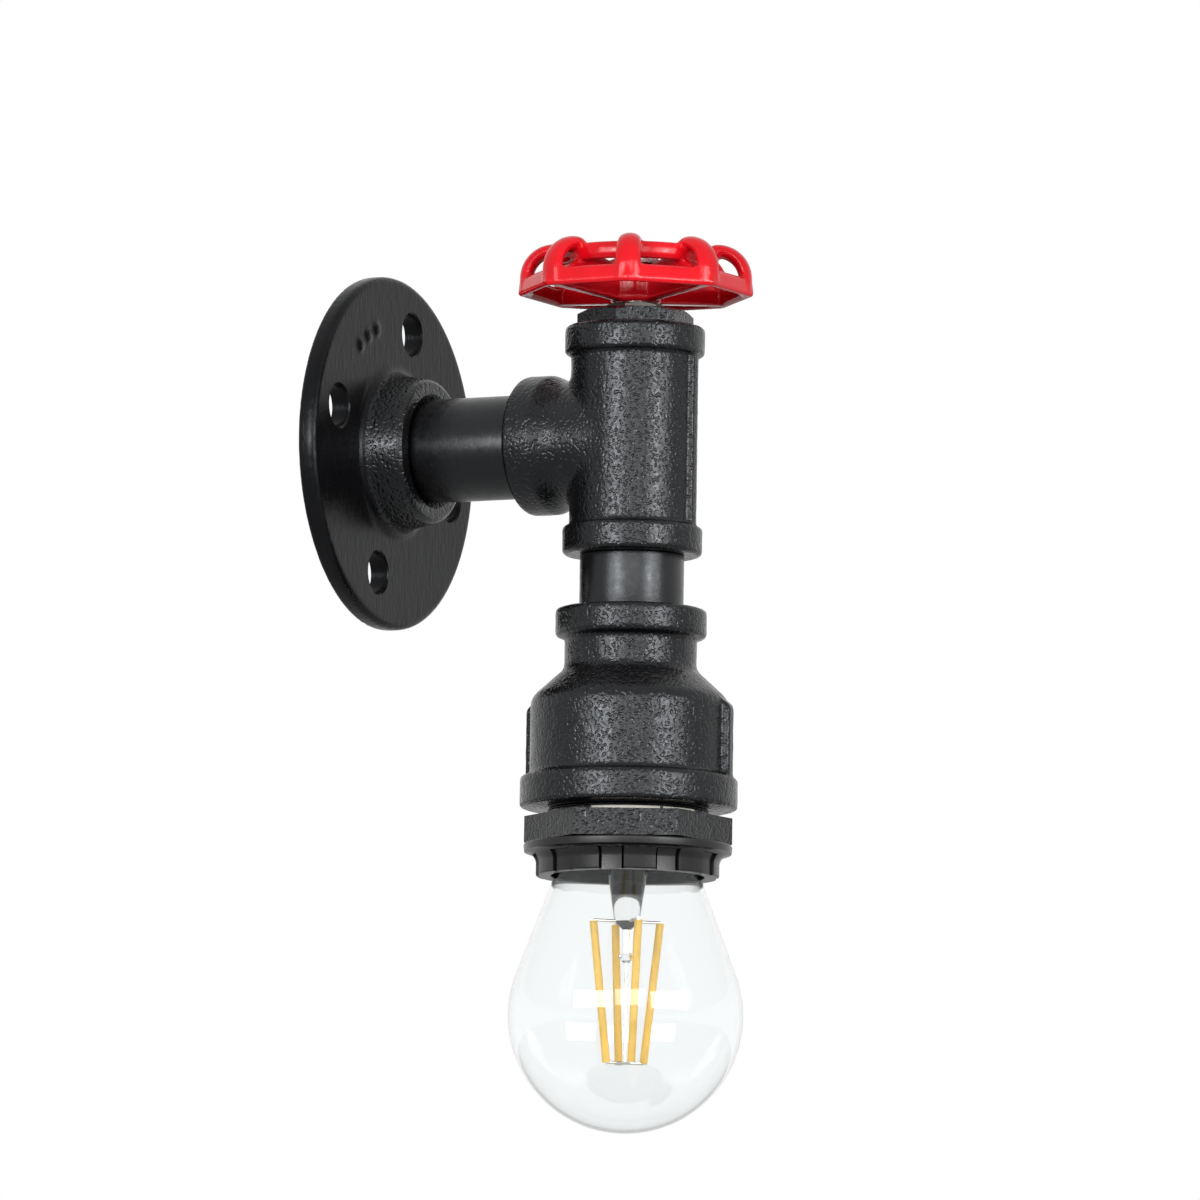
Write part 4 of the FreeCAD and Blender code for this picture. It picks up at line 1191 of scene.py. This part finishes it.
@dataclass
class Reducer:
    """Cast reducing coupling with two side ribs and a band round its mouth."""

    top: float = REDUCER_TOP
    long: float = 50.95
    collar: float = 19.35
    collar_long: float = 7.5
    neck: float = 16.9
    neck_low: float = 35.3
    body: float = 25.4
    shoulder: float = 27.6
    band: float = 27.8
    band_high: float = 7.8
    mouth: float = -0.3
    thread: float = LAMP_THREAD
    thread_high: float = 16.7
    cavity: float = 22.4
    wall: float = 3.3
    rib_wide: float = 4.4
    rib_reach: float = 27.4
    rib_low: float = 2.0
    rib_high: float = 25.7
    rib_turn: float = 98.0

    def bell(self) -> Piece:
        """Turn the outside of the coupling.

        Returns:
            The solid bell.
        """
        low = self.long - self.collar_long
        corners = [
            (0, self.mouth),
            (self.band, self.mouth, 0.5),
            (self.band, self.band_high, 1.4),
            (self.body, self.band_high, 0.9),
            (self.body, self.shoulder, 5.0),
            (self.neck, self.neck_low, 3.0),
            (self.neck, low, 0.8),
            (self.collar, low, 1.3),
            (self.collar, self.long, 1.2),
            (0, self.long),
        ]
        return lathe("reducer_bell", corners, ring=8)

    def ribs(self) -> list[Piece]:
        """Draw and thicken the two side ribs.

        Returns:
            The ribs.
        """
        root, crest = self.body - 4, self.rib_high + 2.2
        outline = soften(
            [
                (root, self.rib_low),
                (self.rib_reach, self.rib_low),
                (self.rib_reach, self.rib_high, 2.2),
                (self.body - 1, crest),
                (root, crest),
            ]
        )
        rib = thicken(draw_outline("reducer_rib", outline), self.rib_wide)
        return [spin_by(part, self.rib_turn) for part in ring_of(rib, 2)]

    def build(self, shop: Shop) -> None:
        """Weld the bell and its ribs, and bore them out.

        Args:
            shop: Takes the finished piece.
        """
        casting = cast("reducer_cast", [self.bell(), *self.ribs()], 0.5, 6, 0.12)
        inside = self.neck - self.wall
        bore = lathe(
            "reducer_bore",
            [
                (0, -1),
                (self.thread, -1),
                (self.thread, self.thread_high),
                (self.cavity, self.thread_high + 1.5),
                (self.cavity, self.shoulder - 2),
                (inside, self.neck_low - 0.6),
                (inside, self.long - 13.8),
                (PIPE_THREAD, self.long - 13.0),
                (PIPE_THREAD, self.long + 1),
                (0, self.long + 1),
            ],
        )
        carve(casting, bore)
        set_down(casting, at(0, STACK_Y, self.top - self.long))
        smooth(casting)
        shop.deliver(casting, "fixture", "black_iron", Finish.CASTING, "reducer")


@dataclass
class LampBushing:
    """Hexagon bushing under the reducer, a line of pasted thread showing above its hexagon."""

    bottom: float = -103.4
    flats: float = 46.0
    hex_high: float = 6.8
    gap: float = 2.45
    bead_high: float = 0.9
    thread: float = LAMP_THREAD
    crest: float = 20.85
    thread_long: float = 15.15
    bore: float = 18.0
    edge: float = 0.8
    turn: float = -5.3
    crests: int = 2
    paste: tuple[tuple[float, float], ...] = ((-156, 49), (-114.7, 28), (-10, 60), (70, 35))

    def build(self, shop: Shop) -> None:
        """Cut the hexagon and turn the exposed thread.

        Args:
            shop: Takes the finished pieces.
        """
        head = prism("lamp_bushing_head", self.flats, 0, self.hex_high, self.turn)
        top = self.hex_high + self.gap + self.thread_long
        hole = rod("lamp_hole", self.bore, -1, top + 1, 128)
        stem = lathe(
            "lamp_stem",
            [
                (0, self.hex_high - 0.5),
                (self.thread, self.hex_high - 0.5),
                (self.thread, top - self.edge),
                (self.thread - self.edge, top),
                (0, top),
            ],
            128,
        )
        carve(head, stem, mode="UNION")
        carve(head, hole)
        bevel(head, 0.4)
        set_down(head, at(0, STACK_Y, self.bottom))
        smooth(head, 40, flats=True)
        head.name = "lamp_bushing_cut"
        shop.deliver(head, "fixture", "black_iron", Finish.CASTING, "lamp_bushing")
        self.thread_line(shop)

    def thread_line(self, shop: Shop) -> None:
        """Turn the few exposed crests of the thread and lay the smears of paste under them.

        Args:
            shop: Takes the finished pieces.
        """
        foot = self.bead_high + 0.15
        step = (self.gap - foot) / self.crests
        root = self.thread - 0.5
        corners: list[Corner] = [(root, foot)]
        for k in range(self.crests):
            corners.append((self.thread, foot + step * k + 0.05))
            corners.append((self.crest, foot + step * (k + 0.5), 0.15))
        corners += [(self.thread, self.gap - 0.05), (root, self.gap)]
        crests = lathe("lamp_bushing_thread", corners, 128)
        smear = [
            (root, 0.02),
            (self.crest, 0.02),
            (self.crest + 0.2, self.bead_high / 2, 0.2),
            (self.crest, self.bead_high),
            (root, self.bead_high),
        ]
        smears = [
            spin_by(sector("lamp_bushing_paste", smear, degrees), middle)
            for middle, degrees in self.paste
        ]
        bead = join("lamp_bushing_paste", *smears)
        for piece, finish in ((crests, Finish.PIPE), (bead, Finish.SEALANT)):
            set_down(piece, at(0, STACK_Y, self.bottom + self.hex_high))
            smooth(piece, 60)
            shop.deliver(piece, "fixture", "black_iron", finish)


@dataclass
class ShadeRing:
    """Black moulded ring with a flared lip and sunk channels for the fingers."""

    top: float = -103.8
    long: float = 8.2
    bore: float = 19.6
    barrel: float = 23.4
    barrel_high: float = 3.3
    lip: float = 26.7
    lip_thick: float = 2.0
    sweep: float = 3.2
    channels: int = 10
    channel_angle: float = 15.6
    channel_deep: float = 0.7
    channel_high: float = 5.4
    score_angle: float = 1.5
    score_deep: float = 1.3
    turn: float = 15.8

    def sweep_centre(self) -> Vector:
        """Find the centre of the side's concave arc.

        Returns:
            The centre, as (radius, height).
        """
        start = Vector((self.barrel, self.barrel_high))
        end = Vector((self.lip, self.long - self.lip_thick))
        half = (end - start) / 2
        inward = Vector((-half.y, half.x)).normalized()
        return start + half - inward * math.sqrt(self.sweep**2 - half.length_squared)

    def side(self, sunk: float, top: float) -> Outline:
        """Draw the concave sweep of the ring's side.

        Args:
            sunk: How far the line lies under the surface.
            top: Height at which it ends.

        Returns:
            Its points, from the barrel upwards.
        """
        centre = self.sweep_centre()
        radius = self.sweep + sunk
        first = math.atan2(self.barrel_high - centre.y, self.barrel - centre.x)
        last = math.pi - math.asin((top - centre.y) / radius)
        steps = 10
        angles = [first + (last - first) * k / steps for k in range(steps + 1)]
        return [(centre.x + radius * math.cos(a), centre.y + radius * math.sin(a)) for a in angles]

    def cutter(self, name: str, deep: float, degrees: float, high: float) -> Piece:
        """The space that a channel or a scored line takes out of the ring's side.

        Args:
            name: The tool's name.
            deep: How far it reaches under the side.
            degrees: How wide it is.
            high: Height at which it ends.

        Returns:
            The tool, on the X axis.
        """
        corners = [(self.barrel - deep, -deep), *self.side(deep, high)]
        corners += [(self.lip + deep, high), (self.lip + deep, -deep)]
        return sector(name, corners, degrees)

    # Picks the faces that get painted shade: the floors of the scored lines.
    def in_score(self, middle: Vector) -> bool:
        """Whether a face lies at the bottom of a scored line.

        Args:
            middle: The face's middle.

        Returns:
            True where it lies deeper under the side than a channel.
        """
        high = middle.z / MM - self.top + self.long
        across = math.hypot(middle.x / MM, middle.y / MM - STACK_Y)
        deep = self.barrel - across
        if high > self.barrel_high:
            deep = (Vector((across, high)) - self.sweep_centre()).length - self.sweep
        return 0.05 < high < self.channel_high + 0.1 and across > self.bore + 0.6 and deep > 1

    def build(self, shop: Shop) -> None:
        """Turn the ring and cut its channels, each with a scored line at both sides.

        Args:
            shop: Takes the finished piece.
        """
        ring = lathe(
            "shade_ring_moulding",
            [
                (self.bore, 0, 0.3),
                (self.barrel, 0, 0.4),
                *self.side(0, self.long - self.lip_thick),
                (self.lip, self.long, 0.5),
                (self.bore, self.long, 0.3),
            ],
            160,
        )
        high = self.channel_high
        channel = self.cutter("shade_ring_channel", self.channel_deep, self.channel_angle, high)
        tools = ring_of(channel, self.channels)
        for side in (-1, 1):
            name = f"shade_ring_score_{side + 1}"
            score = self.cutter(name, self.score_deep, self.score_angle, high + 0.07)
            spin_by(score, side * (self.channel_angle - self.score_angle + 0.3) / 2)
            tools += ring_of(score, self.channels)
        for tool in tools:
            spin_by(tool, self.turn)
            carve(ring, tool)
        set_down(ring, at(0, STACK_Y, self.top - self.long))
        smooth(ring)
        shop.deliver(ring, "fixture", "black_moulding", Finish.PHENOLIC, "shade_ring")
        # The floors of the scored lines get a near-black matte finish: painted shade.
        shop.dress_part(ring, Finish.SCORE_SHADE, self.in_score)


@dataclass
class HandWheel:
    """Red cast valve wheel with a finger over each of its eight corners."""

    bottom: float = 37.3
    turn: float = 66.8
    fingers: int = 8
    spokes: int = 4
    corner: float = 30.5
    corner_high: float = 29.75
    wall: float = 2.1
    band_high: float = 4.8
    low: float = 0.4
    foot: float = 28.05
    rise: float = 4.7
    bend: float = 7.15
    bend_steps: int = 14
    hook: float = 2.2
    hook_steps: int = 8
    thick: float = 3.6
    wide: float = 7.3
    tip_wide: float = 5.4
    rim: tuple[float, float] = (18.3, 21.1)
    rim_height: tuple[float, float] = (7.3, 11.85)
    hub: float = 6.6
    hub_height: tuple[float, float] = (-1.6, 8.2)
    spoke_wide: float = 3.6
    spoke_root: float = 3.5
    shaft: float = 3.15
    shaft_half_flats: float = 2.45

    def band(self) -> Piece:
        """Cut the eight-sided outer band, a drafted prism without its inside.

        Returns:
            The band.
        """
        flats = 2 * self.corner * math.cos(math.pi / 8)
        flats_high = 2 * self.corner_high * math.cos(math.pi / 8)
        draft = (flats - flats_high) / self.band_high
        inside = flats - 2 * self.wall + draft
        inside_high = flats_high - 2 * self.wall - draft
        band = prism("wheel_band", flats, 0, self.band_high, 0, 8, flats_high)
        carve(band, prism("wheel_band_inside", inside, -1, self.band_high + 1, 0, 8, inside_high))
        bevel(band, 0.95, 50, 4)
        return band

    def finger_foot(self) -> Piece:
        """Lay the flat start of a finger on the band: the oval section of a bar.

        Returns:
            The section.
        """
        deselect()
        place = (self.foot * MM, 0, self.low * MM)
        bpy.ops.mesh.primitive_circle_add(
            vertices=24, radius=MM / 2, fill_type="NGON", location=place
        )
        bar = named("wheel_finger")
        bar.scale = (self.thick, self.wide, 1)
        settle(bar)
        return bar

    def one_finger(self) -> Piece:
        """Draw the bar up, bend it over the rim and hook it down, narrowing all the way.

        Returns:
            The finger.
        """
        bar = self.finger_foot()
        crown = self.foot - self.bend
        hook_high = self.rise + self.bend - self.hook
        turns = [(self.bend, self.rise, self.bend / self.bend_steps)] * self.bend_steps
        turns += [(self.hook, hook_high, self.hook / self.hook_steps)] * self.hook_steps
        way = self.rise - self.low
        long = way + sum(share for _, _, share in turns) * math.pi / 2
        with shaping(bar, "FACE"):
            bpy.ops.mesh.extrude_region_move(TRANSFORM_OT_translate={"value": (0, 0, way * MM)})
            width = self.width_at(way / long)
            self.narrow(width / self.wide)
            for radius, height, share in turns:
                bpy.ops.mesh.spin(
                    steps=1,
                    angle=math.pi / 2 * share / radius,
                    center=(crown * MM, 0, height * MM),
                    axis=(0, 1, 0),
                )
                way += share * math.pi / 2
                narrower = self.width_at(way / long)
                self.narrow(narrower / width)
                width = narrower
        heal(bar)
        return bar

    def width_at(self, share: float) -> float:
        """Width of a finger at a share of its length."""
        return self.wide + (self.tip_wide - self.wide) * share

    def narrow(self, factor: float) -> None:
        """Narrow the finger's selected end."""
        bpy.ops.transform.resize(value=(1, factor, 1), center_override=(0, 0, 0))

    def one_spoke(self) -> Piece:
        """Draw and thicken a spoke, an upright web from the hub to the band.

        Returns:
            The spoke.
        """
        end = self.foot - 1
        outline = [
            (self.spoke_root, self.hub_height[0]),
            (end, self.low),
            (end, self.band_high - 1),
            (self.rim[1] - 1.5, self.rim_height[0] + 0.8),
            (self.rim[0] + 1, self.rim_height[1] - 1.6),
            (self.spoke_root, self.hub_height[1] - 1.2),
        ]
        return thicken(draw_outline("wheel_spoke", outline), self.spoke_wide)

    def shaft_hole(self) -> Piece:
        """Shape the tool that pierces the hub for a shaft with two flats.

        Returns:
            The tool.
        """
        hole = rod("wheel_hole", self.shaft, -5, 20, 48)
        wide = self.shaft_half_flats
        carve(hole, block("wheel_hole_flats", (-wide, -4, -6), (wide, 4, 21)), mode="INTERSECT")
        return hole

    def build(self, shop: Shop) -> None:
        """Weld band, fingers, rim, spokes and hub, and pierce the hub.

        Args:
            shop: Takes the finished piece.
        """
        (inner, outer), (low, high) = self.rim, self.rim_height
        rim = lathe(
            "wheel_rim",
            [(inner, low, 1.1), (outer, low, 1.9), (outer, high, 2.2), (inner, high, 1.3)],
        )
        low, high = self.hub_height
        corners = [(0, low), (self.hub, low, 0.8), (self.hub, high, 0.8), (0, high)]
        hub = lathe("wheel_hub", corners)
        parts = [self.band(), rim, hub]
        parts += ring_of(self.one_finger(), self.fingers)
        parts += ring_of(self.one_spoke(), self.spokes)
        wheel = cast("handwheel_cast", parts, 0.36, 12)
        carve(wheel, self.shaft_hole())
        spin_by(wheel, self.turn)
        set_down(wheel, at(0, STACK_Y, self.bottom))
        smooth(wheel)
        shop.deliver(wheel, "handwheel", "red_enamel", Finish.RED, "handwheel")


@dataclass
class WheelHardware:
    """Nuts on the switch bush and on the wheel's shaft."""

    turn: float = 6.5
    bush_flats: float = 14.0
    bush: float = 5.0
    bush_nut: float = 1.8
    shaft_flats: float = 10.0
    shaft: float = 2.9
    shaft_nut: tuple[float, float] = (46.5, 50.7)
    plain: tuple[str, ...] = ("switch_shaft", "wheel_washer", "switch_cover", "detent_spring")

    def one_nut(self, name: str, flats: float, bore: float, low: float, high: float) -> Piece:
        """A chamfered nut, bored through.

        Args:
            name: The nut's name.
            flats: Size across its flats.
            bore: Radius of its hole.
            low: Height of its underside.
            high: Height of its top.

        Returns:
            The nut, in place.
        """
        nut = hex_head(name, flats, low, high, self.turn)
        carve(nut, rod(name + "_hole", bore, low - 1, high + 1, 64))
        bevel(nut, 0.12)
        set_down(nut, at(0, STACK_Y, 0))
        smooth(nut, 40, flats=True)
        return nut

    def build(self, shop: Shop) -> None:
        """Make the nuts and finish the plain turned pieces.

        Args:
            shop: Takes the finished pieces.
        """
        size = (self.bush_flats, self.bush)
        inner = self.one_nut("bush_nut_inner", *size, PLUG_FOOT - self.bush_nut, PLUG_FOOT)
        outer = self.one_nut("bush_nut_outer", *size, PLUG_TOP, PLUG_TOP + self.bush_nut)
        pair = join("bush_nut_pair", inner, outer)
        shop.deliver(pair, "fixture", "bright_steel", Finish.STEEL, "bush_nuts")
        nut = self.one_nut("wheel_nut_cut", self.shaft_flats, self.shaft, *self.shaft_nut)
        shop.deliver(nut, "handwheel", "bright_steel", Finish.ZINC, "wheel_nut")
        for node in self.plain:
            shop.dress_node(node, Finish.ZINC)


@dataclass
class Bulb:
    """Clear bulb with an E27 cap and four filament sticks; heights count down from its tip."""

    tip: float = -73.5
    long: float = 104.0
    radius: float = 30.0
    slope: float = 20.5
    wall: float = 0.8
    neck: float = 12.4
    neck_from: float = 23.5
    shoulder: float = 25.2
    cap: float = 13.0
    cap_top: float = 6.5
    cap_hole: float = 11.2
    cap_end: float = 25.0
    thread_from: float = 8.4
    thread_long: float = 12.6
    pitch: float = 3.63
    wave: float = 0.75
    steps: int = 36
    inside: tuple[tuple[str, Finish], ...] = (
        ("bulb_insulator", Finish.VITRITE),
        ("bulb_contact", Finish.NICKEL),
        ("glass_stem", Finish.GLASS),
        ("filament_supports", Finish.NICKEL),
        ("filaments", Finish.PHOSPHOR),
    )

    def outline(self) -> Outline:
        """Draw the glass from the neck over its slope to the crown.

        Returns:
            The outline's points.
        """
        tilt = math.radians(self.slope)
        centre = -(self.long - self.radius)
        cone_top = -(self.shoulder + 0.8)
        edge = (self.radius * math.cos(tilt), centre + self.radius * math.sin(tilt))
        outer: Outline = [(self.neck, -self.neck_from), (self.neck, -self.shoulder)]
        outer.append((edge[0] - (cone_top - edge[1]) * math.tan(tilt), cone_top))
        for k in range(self.steps):
            angle = tilt - (tilt + math.pi / 2) * k / self.steps
            outer.append((self.radius * math.cos(angle), centre + self.radius * math.sin(angle)))
        return outer + [(0.0, -self.long)]

    def glass(self, shop: Shop) -> None:
        """Blow the glass: its outline is spun and given a wall.

        Args:
            shop: Takes the finished piece.
        """
        shell = draw_outline("bulb_glass_blown", self.outline(), closed=False)
        with shaping(shell):
            revolve(128)
        heal(shell)
        finish_with(shell, "SOLIDIFY", thickness=self.wall * MM, offset=-1)
        set_down(shell, at(0, STACK_Y, self.tip))
        smooth(shell, 60)
        shop.deliver(shell, "bulb", "clear_glass", Finish.GLASS, "bulb_glass")

    def screw_cap(self, shop: Shop) -> None:
        """Turn the cap with its rolled thread waves.

        Args:
            shop: Takes the finished piece.
        """
        inner, skirt = self.cap - 1.2, self.cap - 0.3
        corners: list[Corner] = [(self.cap_hole, -self.cap_top), (self.cap - 0.9, -7.4, 0.4)]
        for k in range(self.steps + 1):
            down = self.thread_from + self.thread_long * k / self.steps
            wave = 0.5 - 0.5 * math.cos(math.tau * (down - self.thread_from) / self.pitch)
            corners.append((self.cap - 0.8 + self.wave * wave, -down))
        corners += [(self.cap, -22.5, 0.3), (self.cap, -self.cap_end), (skirt, -self.cap_end)]
        corners += [(self.cap - 0.5, -22.0), (inner, -20.0), (inner, -8.0), (self.cap_hole, -7.0)]
        cap = lathe("bulb_cap_rolled", corners, 96, 3)
        set_down(cap, at(0, STACK_Y, self.tip))
        smooth(cap, 50)
        shop.deliver(cap, "bulb", "cap_metal", Finish.NICKEL, "bulb_cap")

    def build(self, shop: Shop) -> None:
        """Make the glass and the cap and finish what is inside.

        Args:
            shop: Takes the finished pieces.
        """
        self.glass(shop)
        self.screw_cap(shop)
        for node, finish in self.inside:
            shop.dress_node(node, finish)


@dataclass
class HiddenParts:
    """What sits inside the fittings and keeps its form from the frame."""

    finishes: dict[Finish, tuple[str, ...]] = field(
        default_factory=lambda: {
            Finish.PHENOLIC: ("holder_body", "holder_cap", "holder_locknut"),
            Finish.CERAMIC: ("contact_block",),
            Finish.BRASS: (
                "live_terminal",
                "neutral_terminal",
                "centre_contact",
                "shell_rivet",
                "switch_posts",
                "rotor_bridge",
                "earth_lug",
            ),
            Finish.ZINC: ("terminal_screws",),
            Finish.NICKEL: ("screw_shell", "switch_bush"),
            Finish.SWITCH: ("switch_case",),
            Finish.PALE: ("switch_rotor",),
            Finish.BROWN: ("live_lead", "switched_lead"),
            Finish.BLUE: ("neutral_lead",),
            Finish.GREEN: ("earth_lead",),
            Finish.COPPER: ("lead_ends",),
        }
    )

    def build(self, shop: Shop) -> None:
        """Give each node its finish.

        Args:
            shop: Dresses the nodes.
        """
        for finish, nodes in self.finishes.items():
            for node in nodes:
                shop.dress_node(node, finish)


@dataclass(frozen=True)
class Lamp:
    """One soft lamp, placed by angles from the camera's direction.

    It stands at so many degrees to the right of the camera and above the horizon, and so many
    metres from the object. Its size is in metres and its power in watts.
    """

    name: str
    around: float
    above: float
    size: tuple[float, float]
    power: float
    far: float = 1.6

    def hang(self, azimuth: float) -> None:
        """Hang the lamp.

        Args:
            azimuth: The camera's direction, in degrees.
        """
        a, e = math.radians(azimuth + self.around), math.radians(self.above)
        way = Vector((math.sin(a) * math.cos(e), -math.cos(a) * math.cos(e), math.sin(e)))
        middle = Vector((0, -0.06, -0.05))
        bpy.ops.object.light_add(type="AREA", location=middle + way * self.far)
        lamp = named(self.name)
        lamp.rotation_euler = way.to_track_quat("Z", "Y").to_euler()
        lamp.data.shape = "RECTANGLE"
        lamp.data.size, lamp.data.size_y = self.size
        lamp.data.energy = self.power


@dataclass
class Studio:
    """Camera, lamps, floor and world."""

    azimuth: float = -63.534
    elevation: float = -7.163
    roll: float = 0.856
    distance: float = 4030.13
    focal: float = 15729.2
    frame: float = 1200.0
    sensor: float = 36.0
    target: tuple[float, float, float] = (0, -50, -20)
    seen_at: tuple[float, float] = (550.916, 523.048)
    lamps: tuple[Lamp, ...] = (
        Lamp("soft_left", -33, 8, (1.1, 0.45), 14),
        Lamp("soft_right", 44, 8, (1.1, 0.45), 13),
        Lamp("soft_front", 4, 10, (0.8, 0.45), 5.5),
        Lamp("spark_left", -31, 8, (0.1, 0.1), 3.6),
        Lamp("spark_right", 41, 8, (0.1, 0.1), 3.2),
    )
    floor_low: float = -4.6
    floor_size: float = 80.0
    floor_glow: float = 0.4
    fill: float = 0.24

    def axes(self) -> tuple[Vector, Vector, Vector]:
        """Work out how the camera stands before it is aimed off the target.

        Returns:
            Its back, right and up directions.
        """
        a, e, r = (math.radians(v) for v in (self.azimuth, self.elevation, self.roll))
        back = Vector((math.sin(a) * math.cos(e), -math.cos(a) * math.cos(e), math.sin(e)))
        right = Vector((math.cos(a), math.sin(a), 0))
        up = back.cross(right)
        return (
            back,
            right * math.cos(r) + up * math.sin(r),
            up * math.cos(r) - right * math.sin(r),
        )

    def camera(self) -> None:
        """Stand the camera at the photograph's viewpoint, aimed at the middle of its frame."""
        back, right, up = self.axes()
        place = Vector(self.target) + back * self.distance
        middle = self.frame / 2
        aim = -back + right * ((middle - self.seen_at[0]) / self.focal)
        aim -= up * ((middle - self.seen_at[1]) / self.focal)
        look = -aim.normalized()
        across = up.cross(look).normalized()
        upward = look.cross(across)
        turn = Matrix((across, upward, look)).transposed().to_4x4()
        bpy.ops.object.camera_add()
        camera = named("camera")
        camera.matrix_world = Matrix.Translation(place * MM) @ turn
        camera.data.sensor_width = self.sensor
        camera.data.lens = self.focal * self.sensor / self.frame
        camera.data.clip_start = 0.1
        camera.data.clip_end = 100
        bpy.context.scene.camera = camera

    def surroundings(self) -> None:
        """Lay the floor and set a pale world."""
        deselect()
        bpy.ops.mesh.primitive_plane_add(size=self.floor_size, location=(0, 0, self.floor_low))
        floor = named("floor")
        m = Weave("floor_paint")
        m.set(Base_Color=(0.9, 0.9, 0.9, 1), Roughness=0.9, Emission_Color=(1, 1, 1, 1))
        m.set(Emission_Strength=self.seen_directly(m.tree, 0.0, self.floor_glow))
        floor.data.materials.append(m.material)
        world = bpy.data.worlds.new("studio")
        bpy.context.scene.world = world
        world.use_nodes = True
        tree = world.node_tree
        shine = tree.nodes["Background"]
        shine.inputs["Color"].default_value = (1, 1, 1, 1)
        tree.links.new(self.seen_directly(tree, self.fill, 1.0), shine.inputs["Strength"])

    @staticmethod
    def seen_directly(tree: bpy.types.NodeTree, lit: float, seen: float) -> Socket:
        """A strength that differs between what is looked at and what lights the object.

        Args:
            tree: The node tree of the world or of a material.
            lit: The strength as a light.
            seen: The strength for the camera, in reflections and through glass.

        Returns:
            The strength's socket.
        """
        path = tree.nodes.new("ShaderNodeLightPath")
        looked_at = path.outputs["Is Camera Ray"]
        for kind in ("Is Glossy Ray", "Is Transmission Ray"):
            either = tree.nodes.new("ShaderNodeMath")
            either.operation = "MAXIMUM"
            tree.links.new(looked_at, either.inputs[0])
            tree.links.new(path.outputs[kind], either.inputs[1])
            looked_at = either.outputs[0]
        strength = tree.nodes.new("ShaderNodeMapRange")
        tree.links.new(looked_at, strength.inputs["Value"])
        strength.inputs["To Min"].default_value = lit
        strength.inputs["To Max"].default_value = seen
        return strength.outputs["Result"]

    def build(self) -> None:
        """Set up the whole studio."""
        self.camera()
        for lamp in self.lamps:
            lamp.hang(self.azimuth)
        self.surroundings()
        bpy.context.scene.view_settings.view_transform = "Standard"


def main() -> None:
    """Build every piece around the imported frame."""
    logging.basicConfig(level=logging.INFO, format="%(message)s")
    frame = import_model()
    shop = Shop(frame)
    WallFlange().build(shop)
    arm_start, arm_long, drop_long = 4.75, 50.8, 38.1
    plain = (FLANGE_HIGH - arm_start, -STACK_Y - TEE_HALF - arm_start)
    arm = Nipple("arm_nipple", arm_long, plain)
    arm.build(shop, at(0, -arm_start, 0, Axis.FROM_WALL))
    engaged = (drop_long + REDUCER_TOP + TEE_HALF) / 2
    drop = Nipple("drop_nipple", drop_long, (engaged, drop_long - engaged))
    drop.build(shop, at(0, STACK_Y, REDUCER_TOP - engaged))
    Tee().build(shop)
    TopBushing().build(shop)
    Reducer().build(shop)
    LampBushing().build(shop)
    ShadeRing().build(shop)
    HandWheel().build(shop)
    WheelHardware().build(shop)
    Bulb().build(shop)
    HiddenParts().build(shop)
    Studio().build()
    log.info("%d pieces made for the scene", shop.count)


if __name__ == "__main__":
    main()
